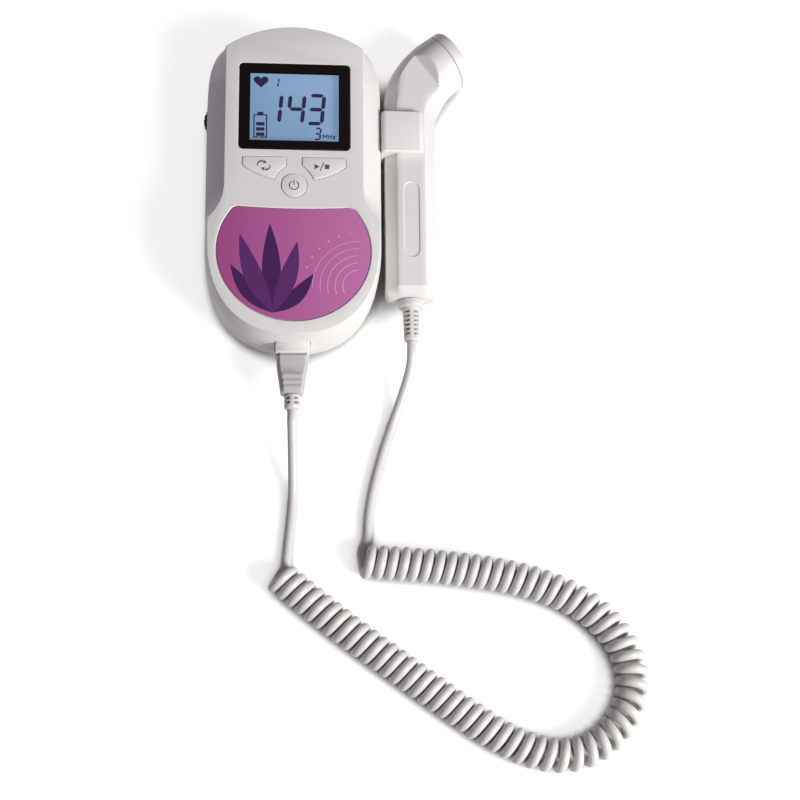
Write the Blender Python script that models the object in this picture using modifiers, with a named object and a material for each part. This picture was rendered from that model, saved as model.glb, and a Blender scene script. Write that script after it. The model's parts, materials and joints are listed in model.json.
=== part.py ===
"""Pocket heartbeat monitor with a bent-head probe in a side clip and a curly cord.

The monitor lies on its back. X runs to its right, Y along its length towards the top and
Z out of its face. The origin is the centre of the flat back.
"""

import bmesh
import bpy
import math

from mathutils import Matrix, Vector

MM = 0.001

# Fits and overruns
CLEARANCE = 0.3 * MM
CUT_OVERRUN = 2.0 * MM
FILLET = 0.5 * MM

# Monitor case
CASE_TOP = 67.3 * MM
CASE_BOTTOM = 67.3 * MM
CASE_HALF_WIDTH = 35.5 * MM
CASE_DEPTH = 30.3 * MM
CASE_WALL = 2.0 * MM
SEAM_HEIGHT = 14.0 * MM
FACET_HEIGHT = 22.5 * MM
FACE_HALF_WIDTH = 28.2 * MM
FACE_EDGE = 0.45 * MM
FACE_SHOULDER_DROP = 9.2 * MM
WAIST_SHOULDER_DROP = 6.5 * MM
SWEEP_START = -1.5 * MM
SWEEP_END = -17.5 * MM
BOWL_CENTRE = -25.0 * MM
BOWL_INSET = 1.8 * MM
BOWL_POWER = 2.35
BACK_INSET = 7.0 * MM
BACK_ROUND = 9.0 * MM

# Display
WINDOW_HALF_WIDTH = 22.4 * MM
WINDOW_TOP = 50.5 * MM
WINDOW_BOTTOM = 12.8 * MM
WINDOW_THICKNESS = 1.2 * MM
WINDOW_CORNER = 1.6 * MM
WINDOW_LEDGE = 2.4 * MM
VIEW_HALF_WIDTH = 18.0 * MM
VIEW_TOP = 46.2 * MM
VIEW_BOTTOM = 16.2 * MM
GLASS_THICKNESS = 2.2 * MM
GLASS_BORDER = 1.4 * MM
FRAME_WALL = 1.2 * MM

# Keys
KEY_TRAVEL = 0.8 * MM
KEY_PROUD = 0.35 * MM
KEY_FLANGE = 1.0 * MM
KEY_FLANGE_THICKNESS = 1.0 * MM
POWER_KEY_RADIUS = 5.0 * MM
POWER_KEY_Y = -2.9 * MM
SIDE_KEY_TOP = 9.2 * MM
SIDE_KEY_INNER = 3.4 * MM
SIDE_KEY_OUTER = 20.7 * MM
SIDE_KEY_HEIGHT = 9.6 * MM
SWITCH_SIZE = 6.0 * MM
SWITCH_HEIGHT = 1.9 * MM
PLUNGER_RADIUS = 1.6 * MM

# Front label
LABEL_HALF_WIDTH = 30.6 * MM
LABEL_TOP = -12.3 * MM
LABEL_BOTTOM = -60.0 * MM
LABEL_SHOULDER = 23.0 * MM
LABEL_SAG = 0.8 * MM
LABEL_THICKNESS = 0.5 * MM

# Main board, speaker and earphone socket
BOARD_DROP = 7.2 * MM
BOARD_TOP = CASE_DEPTH - BOARD_DROP
BOARD_THICKNESS = 1.6 * MM
BOARD_MARGIN = 3.4 * MM
SPEAKER_RADIUS = 14.0 * MM
SPEAKER_DEPTH = 5.0 * MM
SPEAKER_Y = 36.0 * MM
GRILLE_HOLE = 1.1 * MM
GRILLE_PITCH = 4.6 * MM
GRILLE_RINGS = 2
JACK_RADIUS = 1.9 * MM
JACK_WIDTH = 7.0 * MM
JACK_LENGTH = 12.0 * MM
JACK_HEIGHT = 5.0 * MM
JACK_X = -12.0 * MM

# Volume wheel
WHEEL_RADIUS = 8.0 * MM
WHEEL_THICKNESS = 3.0 * MM
WHEEL_Y = 29.7 * MM
WHEEL_HEIGHT = 17.0 * MM
WHEEL_PROUD = 1.5 * MM
WHEEL_TEETH = 24
WHEEL_NOTCH = 0.35 * MM
WHEEL_SWITCH_SIZE = 9.0 * MM
WHEEL_PIN_RADIUS = 1.5 * MM

# Batteries and their bay
CELL_RADIUS = 7.1 * MM
CELL_LENGTH = 49.2 * MM
CELL_NUB_RADIUS = 2.6 * MM
CELL_NUB_LENGTH = 1.1 * MM
BAY_WALL = 1.6 * MM
BAY_TOP_Y = -5.5 * MM
CONTACT_THICKNESS = 0.6 * MM
DOOR_THICKNESS = 1.5 * MM
DOOR_HALF_WIDTH = 19.0 * MM
DOOR_TOP_Y = -4.5 * MM
DOOR_STEP = 0.3 * MM
DOOR_RIB_COUNT = 5
DOOR_RIB_WIDTH = 1.0 * MM

# Housing screws
SCREW_TOP_X = 20.5 * MM
SCREW_TOP_Y = 53.8 * MM
SCREW_BOTTOM_X = 25.0 * MM
SCREW_BOTTOM_Y = -33.0 * MM
SCREW_RADIUS = 1.3 * MM
SCREW_HEAD_RADIUS = 2.3 * MM
SCREW_HEAD_HEIGHT = 1.4 * MM
SCREW_HEAD_DEPTH = 0.8 * MM
SCREW_LENGTH = 17.0 * MM
BOSS_RADIUS = 3.1 * MM

# Probe socket and plug, in line with each other
PORT_HALF_WIDTH = 6.8 * MM
PORT_END = -70.8 * MM
PORT_HEIGHT = 17.0 * MM
PORT_HALF_HEIGHT = 6.3 * MM
PORT_WALL = 1.4 * MM
PORT_DEPTH = 10.4 * MM
PLUG_HALF_WIDTH = 6.2 * MM
PLUG_HALF_HEIGHT = 5.0 * MM
PLUG_LENGTH = 15.4 * MM
PLUG_TAIL_HALF_WIDTH = 4.6 * MM
PLUG_TAIL_HALF_HEIGHT = 4.0 * MM
PLUG_RIBS = 3
PLUG_RIB_PITCH = 2.4 * MM
PLUG_RIB_HEIGHT = 0.4 * MM
PLUG_NOSE_LENGTH = 9.0 * MM
PLUG_BOOT_RADIUS = 3.2 * MM
PLUG_BOOT_LENGTH = 5.8 * MM
PLUG_BOOT_FIRST_SLOT = 1.5 * MM
PLUG_BOOT_SLOTS = 2

# Probe handle and head
PROBE_X = 48.0 * MM
PROBE_HEIGHT = 13.3 * MM
HANDLE_END = -45.4 * MM
HANDLE_END_HALF_WIDTH = 10.3 * MM
HANDLE_HALF_WIDTH = 10.6 * MM
HANDLE_HALF_DEPTH = 9.5 * MM
HANDLE_FLAT_SHARE = 0.5
BEND_Y = 49.5 * MM
HEAD_ANGLE = math.radians(36.3)
HEAD_LENGTH = 24.3 * MM
HEAD_RADIUS = 12.5 * MM
CAP_LENGTH = 5.2 * MM
PROBE_WALL = 1.6 * MM
PROBE_RECESS_WIDTH = 6.2 * MM
PROBE_RECESS_TOP = 2.8 * MM
PROBE_RECESS_BOTTOM = -29.6 * MM
PROBE_RECESS_DEPTH = 0.4 * MM
CRYSTAL_THICKNESS = 1.0 * MM
BACKING_THICKNESS = 4.0 * MM
PROBE_BOARD_LENGTH = 46.0 * MM
PROBE_BOARD_HALF_WIDTH = 6.4 * MM
PROBE_COLLAR_RADIUS = 5.3 * MM
PROBE_COLLAR_LENGTH = 2.9 * MM
PROBE_BOOT_RADIUS = 3.5 * MM
PROBE_BOOT_TIP_RADIUS = 3.0 * MM
PROBE_BOOT_LENGTH = 14.0 * MM
PROBE_BOOT_FIRST_SLOT = 5.0 * MM
PROBE_BOOT_SLOTS = 6
BOOT_SLOT_WIDTH = 0.9 * MM
BOOT_SLOT_PITCH = 1.85 * MM
BOOT_SPINE = 1.0 * MM
BOOT_CORE_RADIUS = 2.1 * MM

# Side clip that holds the probe
CLIP_TOP_Y = 33.0 * MM
CLIP_BOTTOM_Y = 15.0 * MM
CLIP_ARM = 2.6 * MM
CLIP_REACH = 52.9 * MM
CLIP_CORNER = 2.0 * MM
CLIP_CORNER_STEPS = 3
CLIP_TONGUE_LENGTH = 5.0 * MM
CLIP_TONGUE_HEIGHT = 2.4 * MM
CLIP_TONGUE_REACH = 3.2 * MM

# Cord, with the curly part's route on the table
CORD_DIAMETER = 3.9 * MM
HELIX_RADIUS = 4.95 * MM
CURL_GAP = 0.56 * MM
CURL_POINTS = 8
CURL_SIDES_RESOLUTION = 1
CORD_SIDES_RESOLUTION = 2
CORD_SPACING = 7.0 * MM
CORD_LEAD_SHARE = 0.75
CORD_LEAD = 2.4 * MM
CORD_GAP = 0.3 * MM
COIL_ROUTE = [
    (28.7, -151.5),
    (54.7, -153.2),
    (82.3, -156.7),
    (102.0, -161.8),
    (117.6, -169.7),
    (129.0, -181.5),
    (134.2, -194.3),
    (132.4, -207.5),
    (124.0, -219.4),
    (111.0, -226.9),
    (97.9, -226.7),
    (84.5, -221.9),
    (69.3, -212.1),
    (42.5, -193.2),
    (19.3, -176.5),
    (-4.6, -157.4),
]
PLUG_CORD_ROUTE = [
    (0.2, -101.5, 14.6),
    (0.6, -112.0, 8.2),
    (0.8, -122.0, 3.6),
    (0.3, -131.0, 2.15),
    (-0.6, -140.0, 2.05),
    (-1.3, -146.8, 2.05),
]
PROBE_CORD_ROUTE = [
    (47.6, -73.0, 10.6),
    (44.7, -83.0, 5.4),
    (41.0, -93.5, 2.5),
    (37.4, -104.0, 2.05),
    (34.0, -116.0, 2.05),
    (31.8, -126.0, 2.05),
    (30.7, -134.0, 2.05),
    (30.3, -141.0, 2.05),
]


def make_collection(name):
    """Return a new collection linked to the scene."""
    group = bpy.data.collections.new(name)
    bpy.context.scene.collection.children.link(group)
    return group


def clear_scene():
    """Remove every object of the scene."""
    for item in list(bpy.data.objects):
        bpy.data.objects.remove(item, do_unlink=True)


clear_scene()
PARTS = make_collection("heartbeat_monitor")
CUTTERS = make_collection("cutters")


def make_material(name, colour, roughness, metallic=0.0):
    """Return a Principled material."""
    finish = bpy.data.materials.new(name)
    finish.use_nodes = True
    shader = finish.node_tree.nodes["Principled BSDF"]
    shader.inputs["Base Color"].default_value = (*colour, 1.0)
    shader.inputs["Roughness"].default_value = roughness
    shader.inputs["Metallic"].default_value = metallic
    finish.diffuse_color = (*colour, 1.0)
    return finish


WHITE = make_material("white_plastic", (0.665, 0.655, 0.625), 0.38)
GREY = make_material("grey_rubber", (0.56, 0.55, 0.52), 0.5)
BLACK = make_material("black_plastic", (0.02, 0.02, 0.022), 0.3)
CLEAR = make_material("clear_window", (0.03, 0.03, 0.035), 0.08)
BLUE = make_material("display_blue", (0.36, 0.60, 0.86), 0.3)
PINK = make_material("label_pink", (0.66, 0.22, 0.48), 0.4)
BOARD_GREEN = make_material("board_green", (0.02, 0.20, 0.09), 0.5)
STEEL = make_material("steel", (0.6, 0.6, 0.6), 0.35, 1.0)
BRASS = make_material("brass", (0.7, 0.55, 0.25), 0.35, 1.0)
CELL = make_material("cell_jacket", (0.10, 0.12, 0.16), 0.35)
CERAMIC = make_material("ceramic", (0.72, 0.66, 0.52), 0.5)


def register(item, finish=None, cutter=False):
    """Put an object among the parts, or among the hidden cutters."""
    (CUTTERS if cutter else PARTS).objects.link(item)
    if finish is not None:
        item.data.materials.append(finish)
    if cutter:
        item.hide_render = True
        item.display_type = "WIRE"
    return item


def mesh_object(name, mesh_data, finish=None, cutter=False):
    """Turn a bmesh into a named object with outward faces."""
    bmesh.ops.recalc_face_normals(mesh_data, faces=mesh_data.faces)
    mesh = bpy.data.meshes.new(name)
    mesh_data.to_mesh(mesh)
    mesh_data.free()
    return register(bpy.data.objects.new(name, mesh), finish, cutter)


def smooth(item, angle=math.radians(35)):
    """Shade an object smooth, with its sharp edges kept."""
    item.data.shade_smooth()
    item.data.set_sharp_from_angle(angle=angle)
    return item


def set_origin(item, place):
    """Move an object's origin to a place and keep its shape where it is."""
    place = Vector(place)
    turn = item.rotation_euler.to_matrix().inverted()
    item.data.transform(Matrix.Translation(turn @ (item.location - place)))
    item.location = place


def box(name, low, high, finish=None, cutter=False):
    """Box between two corners, with its origin at its centre."""
    low, high = Vector(low), Vector(high)
    size = high - low
    data = bmesh.new()
    bmesh.ops.create_cube(data, size=1.0, matrix=Matrix.Diagonal((*size, 1.0)))
    item = mesh_object(name, data, finish, cutter)
    item.location = (low + high) / 2
    return item


def rod(name, radius, start, end, finish=None, cutter=False, sides=24, end_radius=None):
    """Cylinder or cone from one point to another."""
    start, end = Vector(start), Vector(end)
    span = end - start
    data = bmesh.new()
    tip = radius if end_radius is None else end_radius
    bmesh.ops.create_cone(
        data, cap_ends=True, segments=sides, radius1=radius, radius2=tip, depth=span.length
    )
    item = mesh_object(name, data, finish, cutter)
    item.location = (start + end) / 2
    item.rotation_euler = span.to_track_quat("Z", "Y").to_euler()
    return smooth(item)


def loft(name, rings, finish=None, cutter=False):
    """Closed solid through rings that have the same number of points, with fans as its ends."""
    data = bmesh.new()
    loops = [[data.verts.new(point) for point in ring] for ring in rings]
    count = len(rings[0])
    for lower, upper in zip(loops, loops[1:]):
        for i in range(count):
            j = (i + 1) % count
            data.faces.new((lower[i], lower[j], upper[j], upper[i]))
    for loop in (loops[0][::-1], loops[-1]):
        hub = data.verts.new(sum((v.co for v in loop), Vector()) / count)
        for i in range(count):
            data.faces.new((loop[i], loop[(i + 1) % count], hub))
    bmesh.ops.triangulate(data, faces=data.faces)
    return smooth(mesh_object(name, data, finish, cutter))


def prism(name, outline, bottom, top, finish=None, cutter=False):
    """Flat outline of (x, y) points, extruded between two heights."""
    curve = bpy.data.curves.new(name + "_outline", "CURVE")
    curve.dimensions = "2D"
    curve.fill_mode = "BOTH"
    curve.extrude = (top - bottom) / 2
    spline = curve.splines.new("POLY")
    spline.points.add(len(outline) - 1)
    for point, (x, y) in zip(spline.points, outline):
        point.co = (x, y, 0.0, 1.0)
    spline.use_cyclic_u = True
    flat = bpy.data.objects.new(name + "_outline", curve)
    flat.location = (0.0, 0.0, (bottom + top) / 2)
    return curve_to_mesh(flat, name, finish, cutter)


def curve_to_mesh(flat, name, finish=None, cutter=False):
    """Replace a curve object by its closed mesh."""
    bpy.context.scene.collection.objects.link(flat)
    bpy.context.view_layer.update()
    shape = flat.evaluated_get(bpy.context.evaluated_depsgraph_get())
    mesh = bpy.data.meshes.new_from_object(shape)
    data = bmesh.new()
    data.from_mesh(mesh)
    bmesh.ops.remove_doubles(data, verts=data.verts, dist=0.001 * MM)
    item = mesh_object(name, data, finish, cutter)
    item.data.materials.clear()
    if finish is not None:
        item.data.materials.append(finish)
    item.matrix_world = flat.matrix_world
    bpy.data.objects.remove(flat, do_unlink=True)
    return item


def combine(item, other, operation):
    """Add a Boolean to an object."""
    step = item.modifiers.new(operation.lower() + "_" + other.name, "BOOLEAN")
    step.operation = operation
    step.object = other
    step.solver = "EXACT"
    return item


def cut(item, *others):
    """Take cutters out of an object."""
    for other in others:
        combine(item, other, "DIFFERENCE")
    return item


def join(item, *others):
    """Unite helper solids with an object."""
    for other in others:
        combine(item, other, "UNION")
    return item


def soften(item, width, segments=2):
    """Round an object's edges."""
    step = item.modifiers.new("round", "BEVEL")
    step.width = width
    step.segments = segments
    step.limit_method = "ANGLE"
    return item


def turned(name, profile, location, rotation, finish, sides=24):
    """Turned solid about local Z; the profile runs down its outer side."""
    mesh = bpy.data.meshes.new(name)
    points = [(radius, 0.0, height) for radius, height in profile]
    mesh.from_pydata(points, [(i, i + 1) for i in range(len(points) - 1)], [])
    item = register(bpy.data.objects.new(name, mesh), finish)
    step = item.modifiers.new("turn", "SCREW")
    step.steps = sides
    step.render_steps = sides
    step.use_merge_vertices = True
    step.merge_threshold = 0.001 * MM
    step.use_smooth_shade = True
    item.location = location
    item.rotation_euler = rotation
    return item


def offset(outline, distance):
    """Move a closed outline of (x, y) points outwards by a distance."""
    count = len(outline)
    area = sum(
        outline[i][0] * outline[(i + 1) % count][1] - outline[(i + 1) % count][0] * outline[i][1]
        for i in range(count)
    )
    turn = 1.0 if area > 0 else -1.0
    moved = []
    for i in range(count):
        before, here, after = (Vector(outline[(i + k) % count]) for k in (-1, 0, 1))
        first, second = (here - before).normalized(), (after - here).normalized()
        normals = [Vector((d.y, -d.x)) * turn for d in (first, second)]
        mean = (normals[0] + normals[1]).normalized()
        reach = distance / max(mean.dot(normals[0]), 0.5)
        moved.append(tuple(here + mean * reach))
    return moved


def mix(a, b, share):
    """Straight mix of two numbers."""
    return a + (b - a) * share


ARC_STEPS = 5
SHOULDER_SHARES = [(0.47, 0.14), (0.76, 0.32), (0.89, 0.48), (0.96, 0.66), (1.0, 1.0)]
SWEEP_SHARES = [0.0, 0.35, 0.6, 0.8, 0.92, 1.0]
SWEEP_POWER = 2.4
BOWL_STEPS = 9
FACE_EDGE_SHARE = 0.7
SHOULDER_END = 33.0 * MM
SIDE_INSET_SHARE = 0.55
WHEEL_X = -(CASE_HALF_WIDTH + WHEEL_PROUD - WHEEL_RADIUS)
PORT_LOW = PORT_HEIGHT - PORT_HALF_HEIGHT
PORT_HIGH = PORT_HEIGHT + PORT_HALF_HEIGHT


def top_arc(face):
    """Right half of the arched top edge, down to the shoulder."""
    drop = mix(WAIST_SHOULDER_DROP, FACE_SHOULDER_DROP, face)
    radius = (FACE_HALF_WIDTH**2 + drop**2) / (2 * drop)
    whole = math.asin(FACE_HALF_WIDTH / radius)
    turns = [whole * i / ARC_STEPS for i in range(ARC_STEPS + 1)]
    return [(radius * math.sin(t), CASE_TOP - radius * (1 - math.cos(t))) for t in turns]


def case_half_outline(face):
    """Right half of the case from top to bottom; face is 1 at the face and 0 at the waist."""
    points = top_arc(face)
    shoulder_y = points[-1][1]
    for across, down in SHOULDER_SHARES:
        waist = mix(FACE_HALF_WIDTH, CASE_HALF_WIDTH, across)
        x = mix(waist, FACE_HALF_WIDTH, face)
        points.append((x, mix(shoulder_y, SHOULDER_END, down)))
    bowl_half_width = CASE_HALF_WIDTH - BOWL_INSET * SIDE_INSET_SHARE * face
    for share in SWEEP_SHARES:
        swept = mix(FACE_HALF_WIDTH, bowl_half_width, share**SWEEP_POWER)
        points.append((mix(CASE_HALF_WIDTH, swept, face), mix(SWEEP_START, SWEEP_END, share)))
    bowl_depth = CASE_BOTTOM + BOWL_CENTRE - BOWL_INSET * face
    for i in range(BOWL_STEPS + 1):
        angle = math.pi / 2 * i / BOWL_STEPS
        x = bowl_half_width * max(math.cos(angle), 0.0) ** (2 / BOWL_POWER)
        y = BOWL_CENTRE - bowl_depth * math.sin(angle) ** (2 / BOWL_POWER)
        points.append((x if i < BOWL_STEPS else 0.0, y))
    return points


def case_ring(height, face=0.0, inset=0.0):
    """Closed ring of the case at a height, drawn in by an inset."""
    half = case_half_outline(face)
    outline = half + [(-x, y) for x, y in reversed(half[1:-1])]
    if inset:
        outline = offset(outline, -inset)
    return [(x, y, height) for x, y in outline]


def front_outside():
    """Rings of the front shell's outer surface, from the seam to the face."""
    edge = CASE_DEPTH - FACE_EDGE
    return [
        case_ring(SEAM_HEIGHT + CLEARANCE / 2),
        case_ring(FACET_HEIGHT),
        case_ring(edge, 1.0),
        case_ring(mix(edge, CASE_DEPTH, FACE_EDGE_SHARE), 1.0, (1 - FACE_EDGE_SHARE) * FACE_EDGE),
        case_ring(CASE_DEPTH, 1.0, FACE_EDGE),
    ]


def back_rings(low, inset, steps=4):
    """Rings of a rounded back from its flat at low up to the seam."""
    rings = []
    for i in range(steps + 1):
        angle = math.pi / 2 * i / steps
        height = mix(BACK_ROUND, low, math.cos(angle))
        rings.append(case_ring(height, 0.0, inset + BACK_INSET * (1 - math.sin(angle))))
    return rings


def front_inside():
    """Rings of the space inside the front shell."""
    return [
        case_ring(SEAM_HEIGHT - CUT_OVERRUN, 0.0, CASE_WALL),
        case_ring(FACET_HEIGHT - CASE_WALL / 2, 0.0, CASE_WALL),
        case_ring(CASE_DEPTH - CASE_WALL, 1.0, CASE_WALL),
    ]


def rounded_rectangle(half_width, bottom, top, corner, steps=3):
    """Outline of a rectangle with round corners."""
    points = []
    corners = ((1, top, 0), (-1, top, 1), (-1, bottom, 2), (1, bottom, 3))
    for side, y, quarter in corners:
        centre_y = y - corner if y == top else y + corner
        for i in range(steps + 1):
            angle = math.pi / 2 * (quarter + i / steps)
            x = side * (half_width - corner) + corner * math.cos(angle)
            points.append((x, centre_y + corner * math.sin(angle)))
    return points


def circle(radius, x=0.0, y=0.0, sides=24):
    """Outline of a circle."""
    turns = [2 * math.pi * i / sides for i in range(sides)]
    return [(x + radius * math.cos(t), y + radius * math.sin(t)) for t in turns]


SIDE_KEY_SHARES = [(0, 1), (1, 0.98), (1, 0.6), (0.67, 0.25), (0.27, 0), (0.17, 0.33), (0, 0.65)]


def side_key_outline(side):
    """Outline of the key left (-1) or right (1) of the power key."""
    width = SIDE_KEY_OUTER - SIDE_KEY_INNER
    low = SIDE_KEY_TOP - SIDE_KEY_HEIGHT
    return [
        (side * (SIDE_KEY_INNER + u * width), low + v * SIDE_KEY_HEIGHT) for u, v in SIDE_KEY_SHARES
    ]


KEYS = {
    "mode_key": side_key_outline(-1),
    "play_key": side_key_outline(1),
    "power_key": circle(POWER_KEY_RADIUS, 0.0, POWER_KEY_Y),
}

LABEL_ARC_STEPS = 14


def label_outline():
    """Label: a bowl below and a slightly sagging edge above."""
    centre = (LABEL_TOP + LABEL_BOTTOM) / 2 + (LABEL_TOP - LABEL_BOTTOM) * 0.11
    low = centre - LABEL_BOTTOM
    high = LABEL_TOP - centre
    start = math.asin(0.62 * high / low) + math.radians(8)
    half = [(0.0, LABEL_TOP - LABEL_SAG), (LABEL_SHOULDER / 2, LABEL_TOP - 0.6 * LABEL_SAG)]
    half.append((LABEL_SHOULDER * 0.96, LABEL_TOP))
    half.append((LABEL_SHOULDER * 1.05, LABEL_TOP - LABEL_SAG))
    for i in range(LABEL_ARC_STEPS + 1):
        angle = mix(start, -math.pi / 2, i / LABEL_ARC_STEPS)
        x = LABEL_HALF_WIDTH * max(math.cos(angle), 0.0)
        y = centre + low * math.sin(angle)
        half.append((x if i < LABEL_ARC_STEPS else 0.0, y))
    return half + [(-x, y) for x, y in reversed(half[1:-1])]


SCREWS = [
    (side * x, y)
    for x, y in ((SCREW_TOP_X, SCREW_TOP_Y), (SCREW_BOTTOM_X, SCREW_BOTTOM_Y))
    for side in (-1, 1)
]
FACE_UNDERSIDE = CASE_DEPTH - CASE_WALL
WINDOW_FLOOR = CASE_DEPTH - WINDOW_THICKNESS - CLEARANCE
KEY_SEAT = FACE_UNDERSIDE - CLEARANCE
DOOR_TOP = DOOR_STEP + DOOR_THICKNESS
CELL_X = CELL_RADIUS + CLEARANCE
CELL_HEIGHT = DOOR_TOP + CLEARANCE + CELL_RADIUS
BAY_HALF_WIDTH = CELL_X + CELL_RADIUS + CLEARANCE
BAY_LENGTH = CELL_LENGTH + CELL_NUB_LENGTH + 2 * CONTACT_THICKNESS + 4 * CLEARANCE
BAY_BOTTOM_Y = BAY_TOP_Y - BAY_LENGTH
PORT_CUT_HALF_WIDTH = PORT_HALF_WIDTH + CLEARANCE
CLIP_INNER_X = PROBE_X - HANDLE_HALF_WIDTH - CLEARANCE
TONGUE_YS = [mix(CLIP_BOTTOM_Y, CLIP_TOP_Y, share) for share in (0.25, 0.75)]
TONGUE_HEIGHT = (SEAM_HEIGHT + FACET_HEIGHT) / 2
JACK_Z = BOARD_TOP - BOARD_THICKNESS - CLEARANCE - JACK_HEIGHT / 2


def port_cutter(name):
    """Cutter for the socket's aperture in the case's bottom end."""
    low = (-PORT_CUT_HALF_WIDTH, PORT_END - CUT_OVERRUN, PORT_LOW - CLEARANCE)
    high = (PORT_CUT_HALF_WIDTH, PORT_END + PORT_DEPTH + CLEARANCE, PORT_HIGH + CLEARANCE)
    return box(name, low, high, cutter=True)


def make_front_shell():
    """Front shell with its window, key holes, label recess, bosses and slots."""
    shell = loft("front_shell", front_outside(), WHITE)
    cut(shell, loft("front_space", front_inside(), cutter=True))
    for i, (x, y) in enumerate(SCREWS):
        post_top = FACE_UNDERSIDE + CASE_WALL / 4
        foot = SEAM_HEIGHT + CLEARANCE / 2
        join(shell, rod(f"front_boss_{i}", BOSS_RADIUS, (x, y, foot), (x, y, post_top), cutter=True))
        bore = SCREW_RADIUS + CLEARANCE
        depth = SCREW_HEAD_DEPTH + SCREW_LENGTH + CUT_OVERRUN
        start = (x, y, foot - CUT_OVERRUN)
        cut(shell, rod(f"front_bore_{i}", bore, start, (x, y, depth), cutter=True, sides=16))
    top = CASE_DEPTH + CUT_OVERRUN
    recess = rounded_rectangle(
        WINDOW_HALF_WIDTH + CLEARANCE,
        WINDOW_BOTTOM - CLEARANCE,
        WINDOW_TOP + CLEARANCE,
        WINDOW_CORNER + CLEARANCE,
    )
    cut(shell, prism("window_recess", recess, WINDOW_FLOOR, top, cutter=True))
    ledge = WINDOW_LEDGE
    low = (-(WINDOW_HALF_WIDTH - ledge), WINDOW_BOTTOM + ledge, FACE_UNDERSIDE - CUT_OVERRUN)
    high = (WINDOW_HALF_WIDTH - ledge, WINDOW_TOP - ledge, top)
    cut(shell, box("window_hole", low, high, cutter=True))
    for name, outline in KEYS.items():
        hole = offset(outline, CLEARANCE)
        cut(shell, prism(name + "_hole", hole, FACE_UNDERSIDE - CUT_OVERRUN, top, cutter=True))
    floor = CASE_DEPTH - LABEL_THICKNESS - CLEARANCE
    cut(shell, prism("label_recess", offset(label_outline(), CLEARANCE), floor, top, cutter=True))
    reach = WHEEL_RADIUS + 2 * CLEARANCE
    half = WHEEL_THICKNESS / 2 + CLEARANCE
    low = (WHEEL_X - reach, WHEEL_Y - reach, WHEEL_HEIGHT - half)
    high = (WHEEL_X, WHEEL_Y + reach, WHEEL_HEIGHT + half)
    cut(shell, box("wheel_slot", low, high, cutter=True))
    cut(shell, port_cutter("front_port_cut"))
    jack_end = (JACK_X, CASE_TOP + CUT_OVERRUN, JACK_Z)
    jack_start = (JACK_X, CASE_TOP - 4 * CASE_WALL, JACK_Z)
    jack_hole = JACK_RADIUS + CLEARANCE
    cut(shell, rod("jack_hole", jack_hole, jack_start, jack_end, cutter=True, sides=16))
    for i, y in enumerate(TONGUE_YS):
        slot = CLEARANCE + CLIP_TONGUE_LENGTH / 2
        half = CLEARANCE + CLIP_TONGUE_HEIGHT / 2
        low = (CASE_HALF_WIDTH - 2 * CASE_WALL, y - slot, TONGUE_HEIGHT - half)
        high = (CASE_HALF_WIDTH + CUT_OVERRUN, y + slot, TONGUE_HEIGHT + half)
        cut(shell, box(f"tongue_slot_{i}", low, high, cutter=True))
    return shell


def grille_points():
    """Centres of the speaker's holes: one in the middle and rings of six, twelve and so on."""
    points = [(0.0, SPEAKER_Y)]
    for ring in range(1, GRILLE_RINGS + 1):
        for i in range(6 * ring):
            angle = 2 * math.pi * i / (6 * ring)
            radius = GRILLE_PITCH * ring
            points.append((radius * math.cos(angle), SPEAKER_Y + radius * math.sin(angle)))
    return points


BAY_FOOT_SHARE = 0.75
SHELF_CORNER_SHARE = 0.28


def bay_frame(wall):
    """Low and high (x, y) corners of the battery bay, grown by a wall."""
    low = (-(BAY_HALF_WIDTH + wall), BAY_BOTTOM_Y - wall)
    return low, (BAY_HALF_WIDTH + wall, BAY_TOP_Y + wall)


def shelf_outline(half_width, low):
    """Outline of the shelf over the door, with the corners near the round back cut off."""
    cut_off = half_width * SHELF_CORNER_SHARE
    half = [
        (half_width, DOOR_TOP_Y + BAY_WALL),
        (half_width, low + CLEARANCE + cut_off),
        (half_width - cut_off, low + CLEARANCE),
    ]
    return half + [(-x, y) for x, y in reversed(half)]


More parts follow.
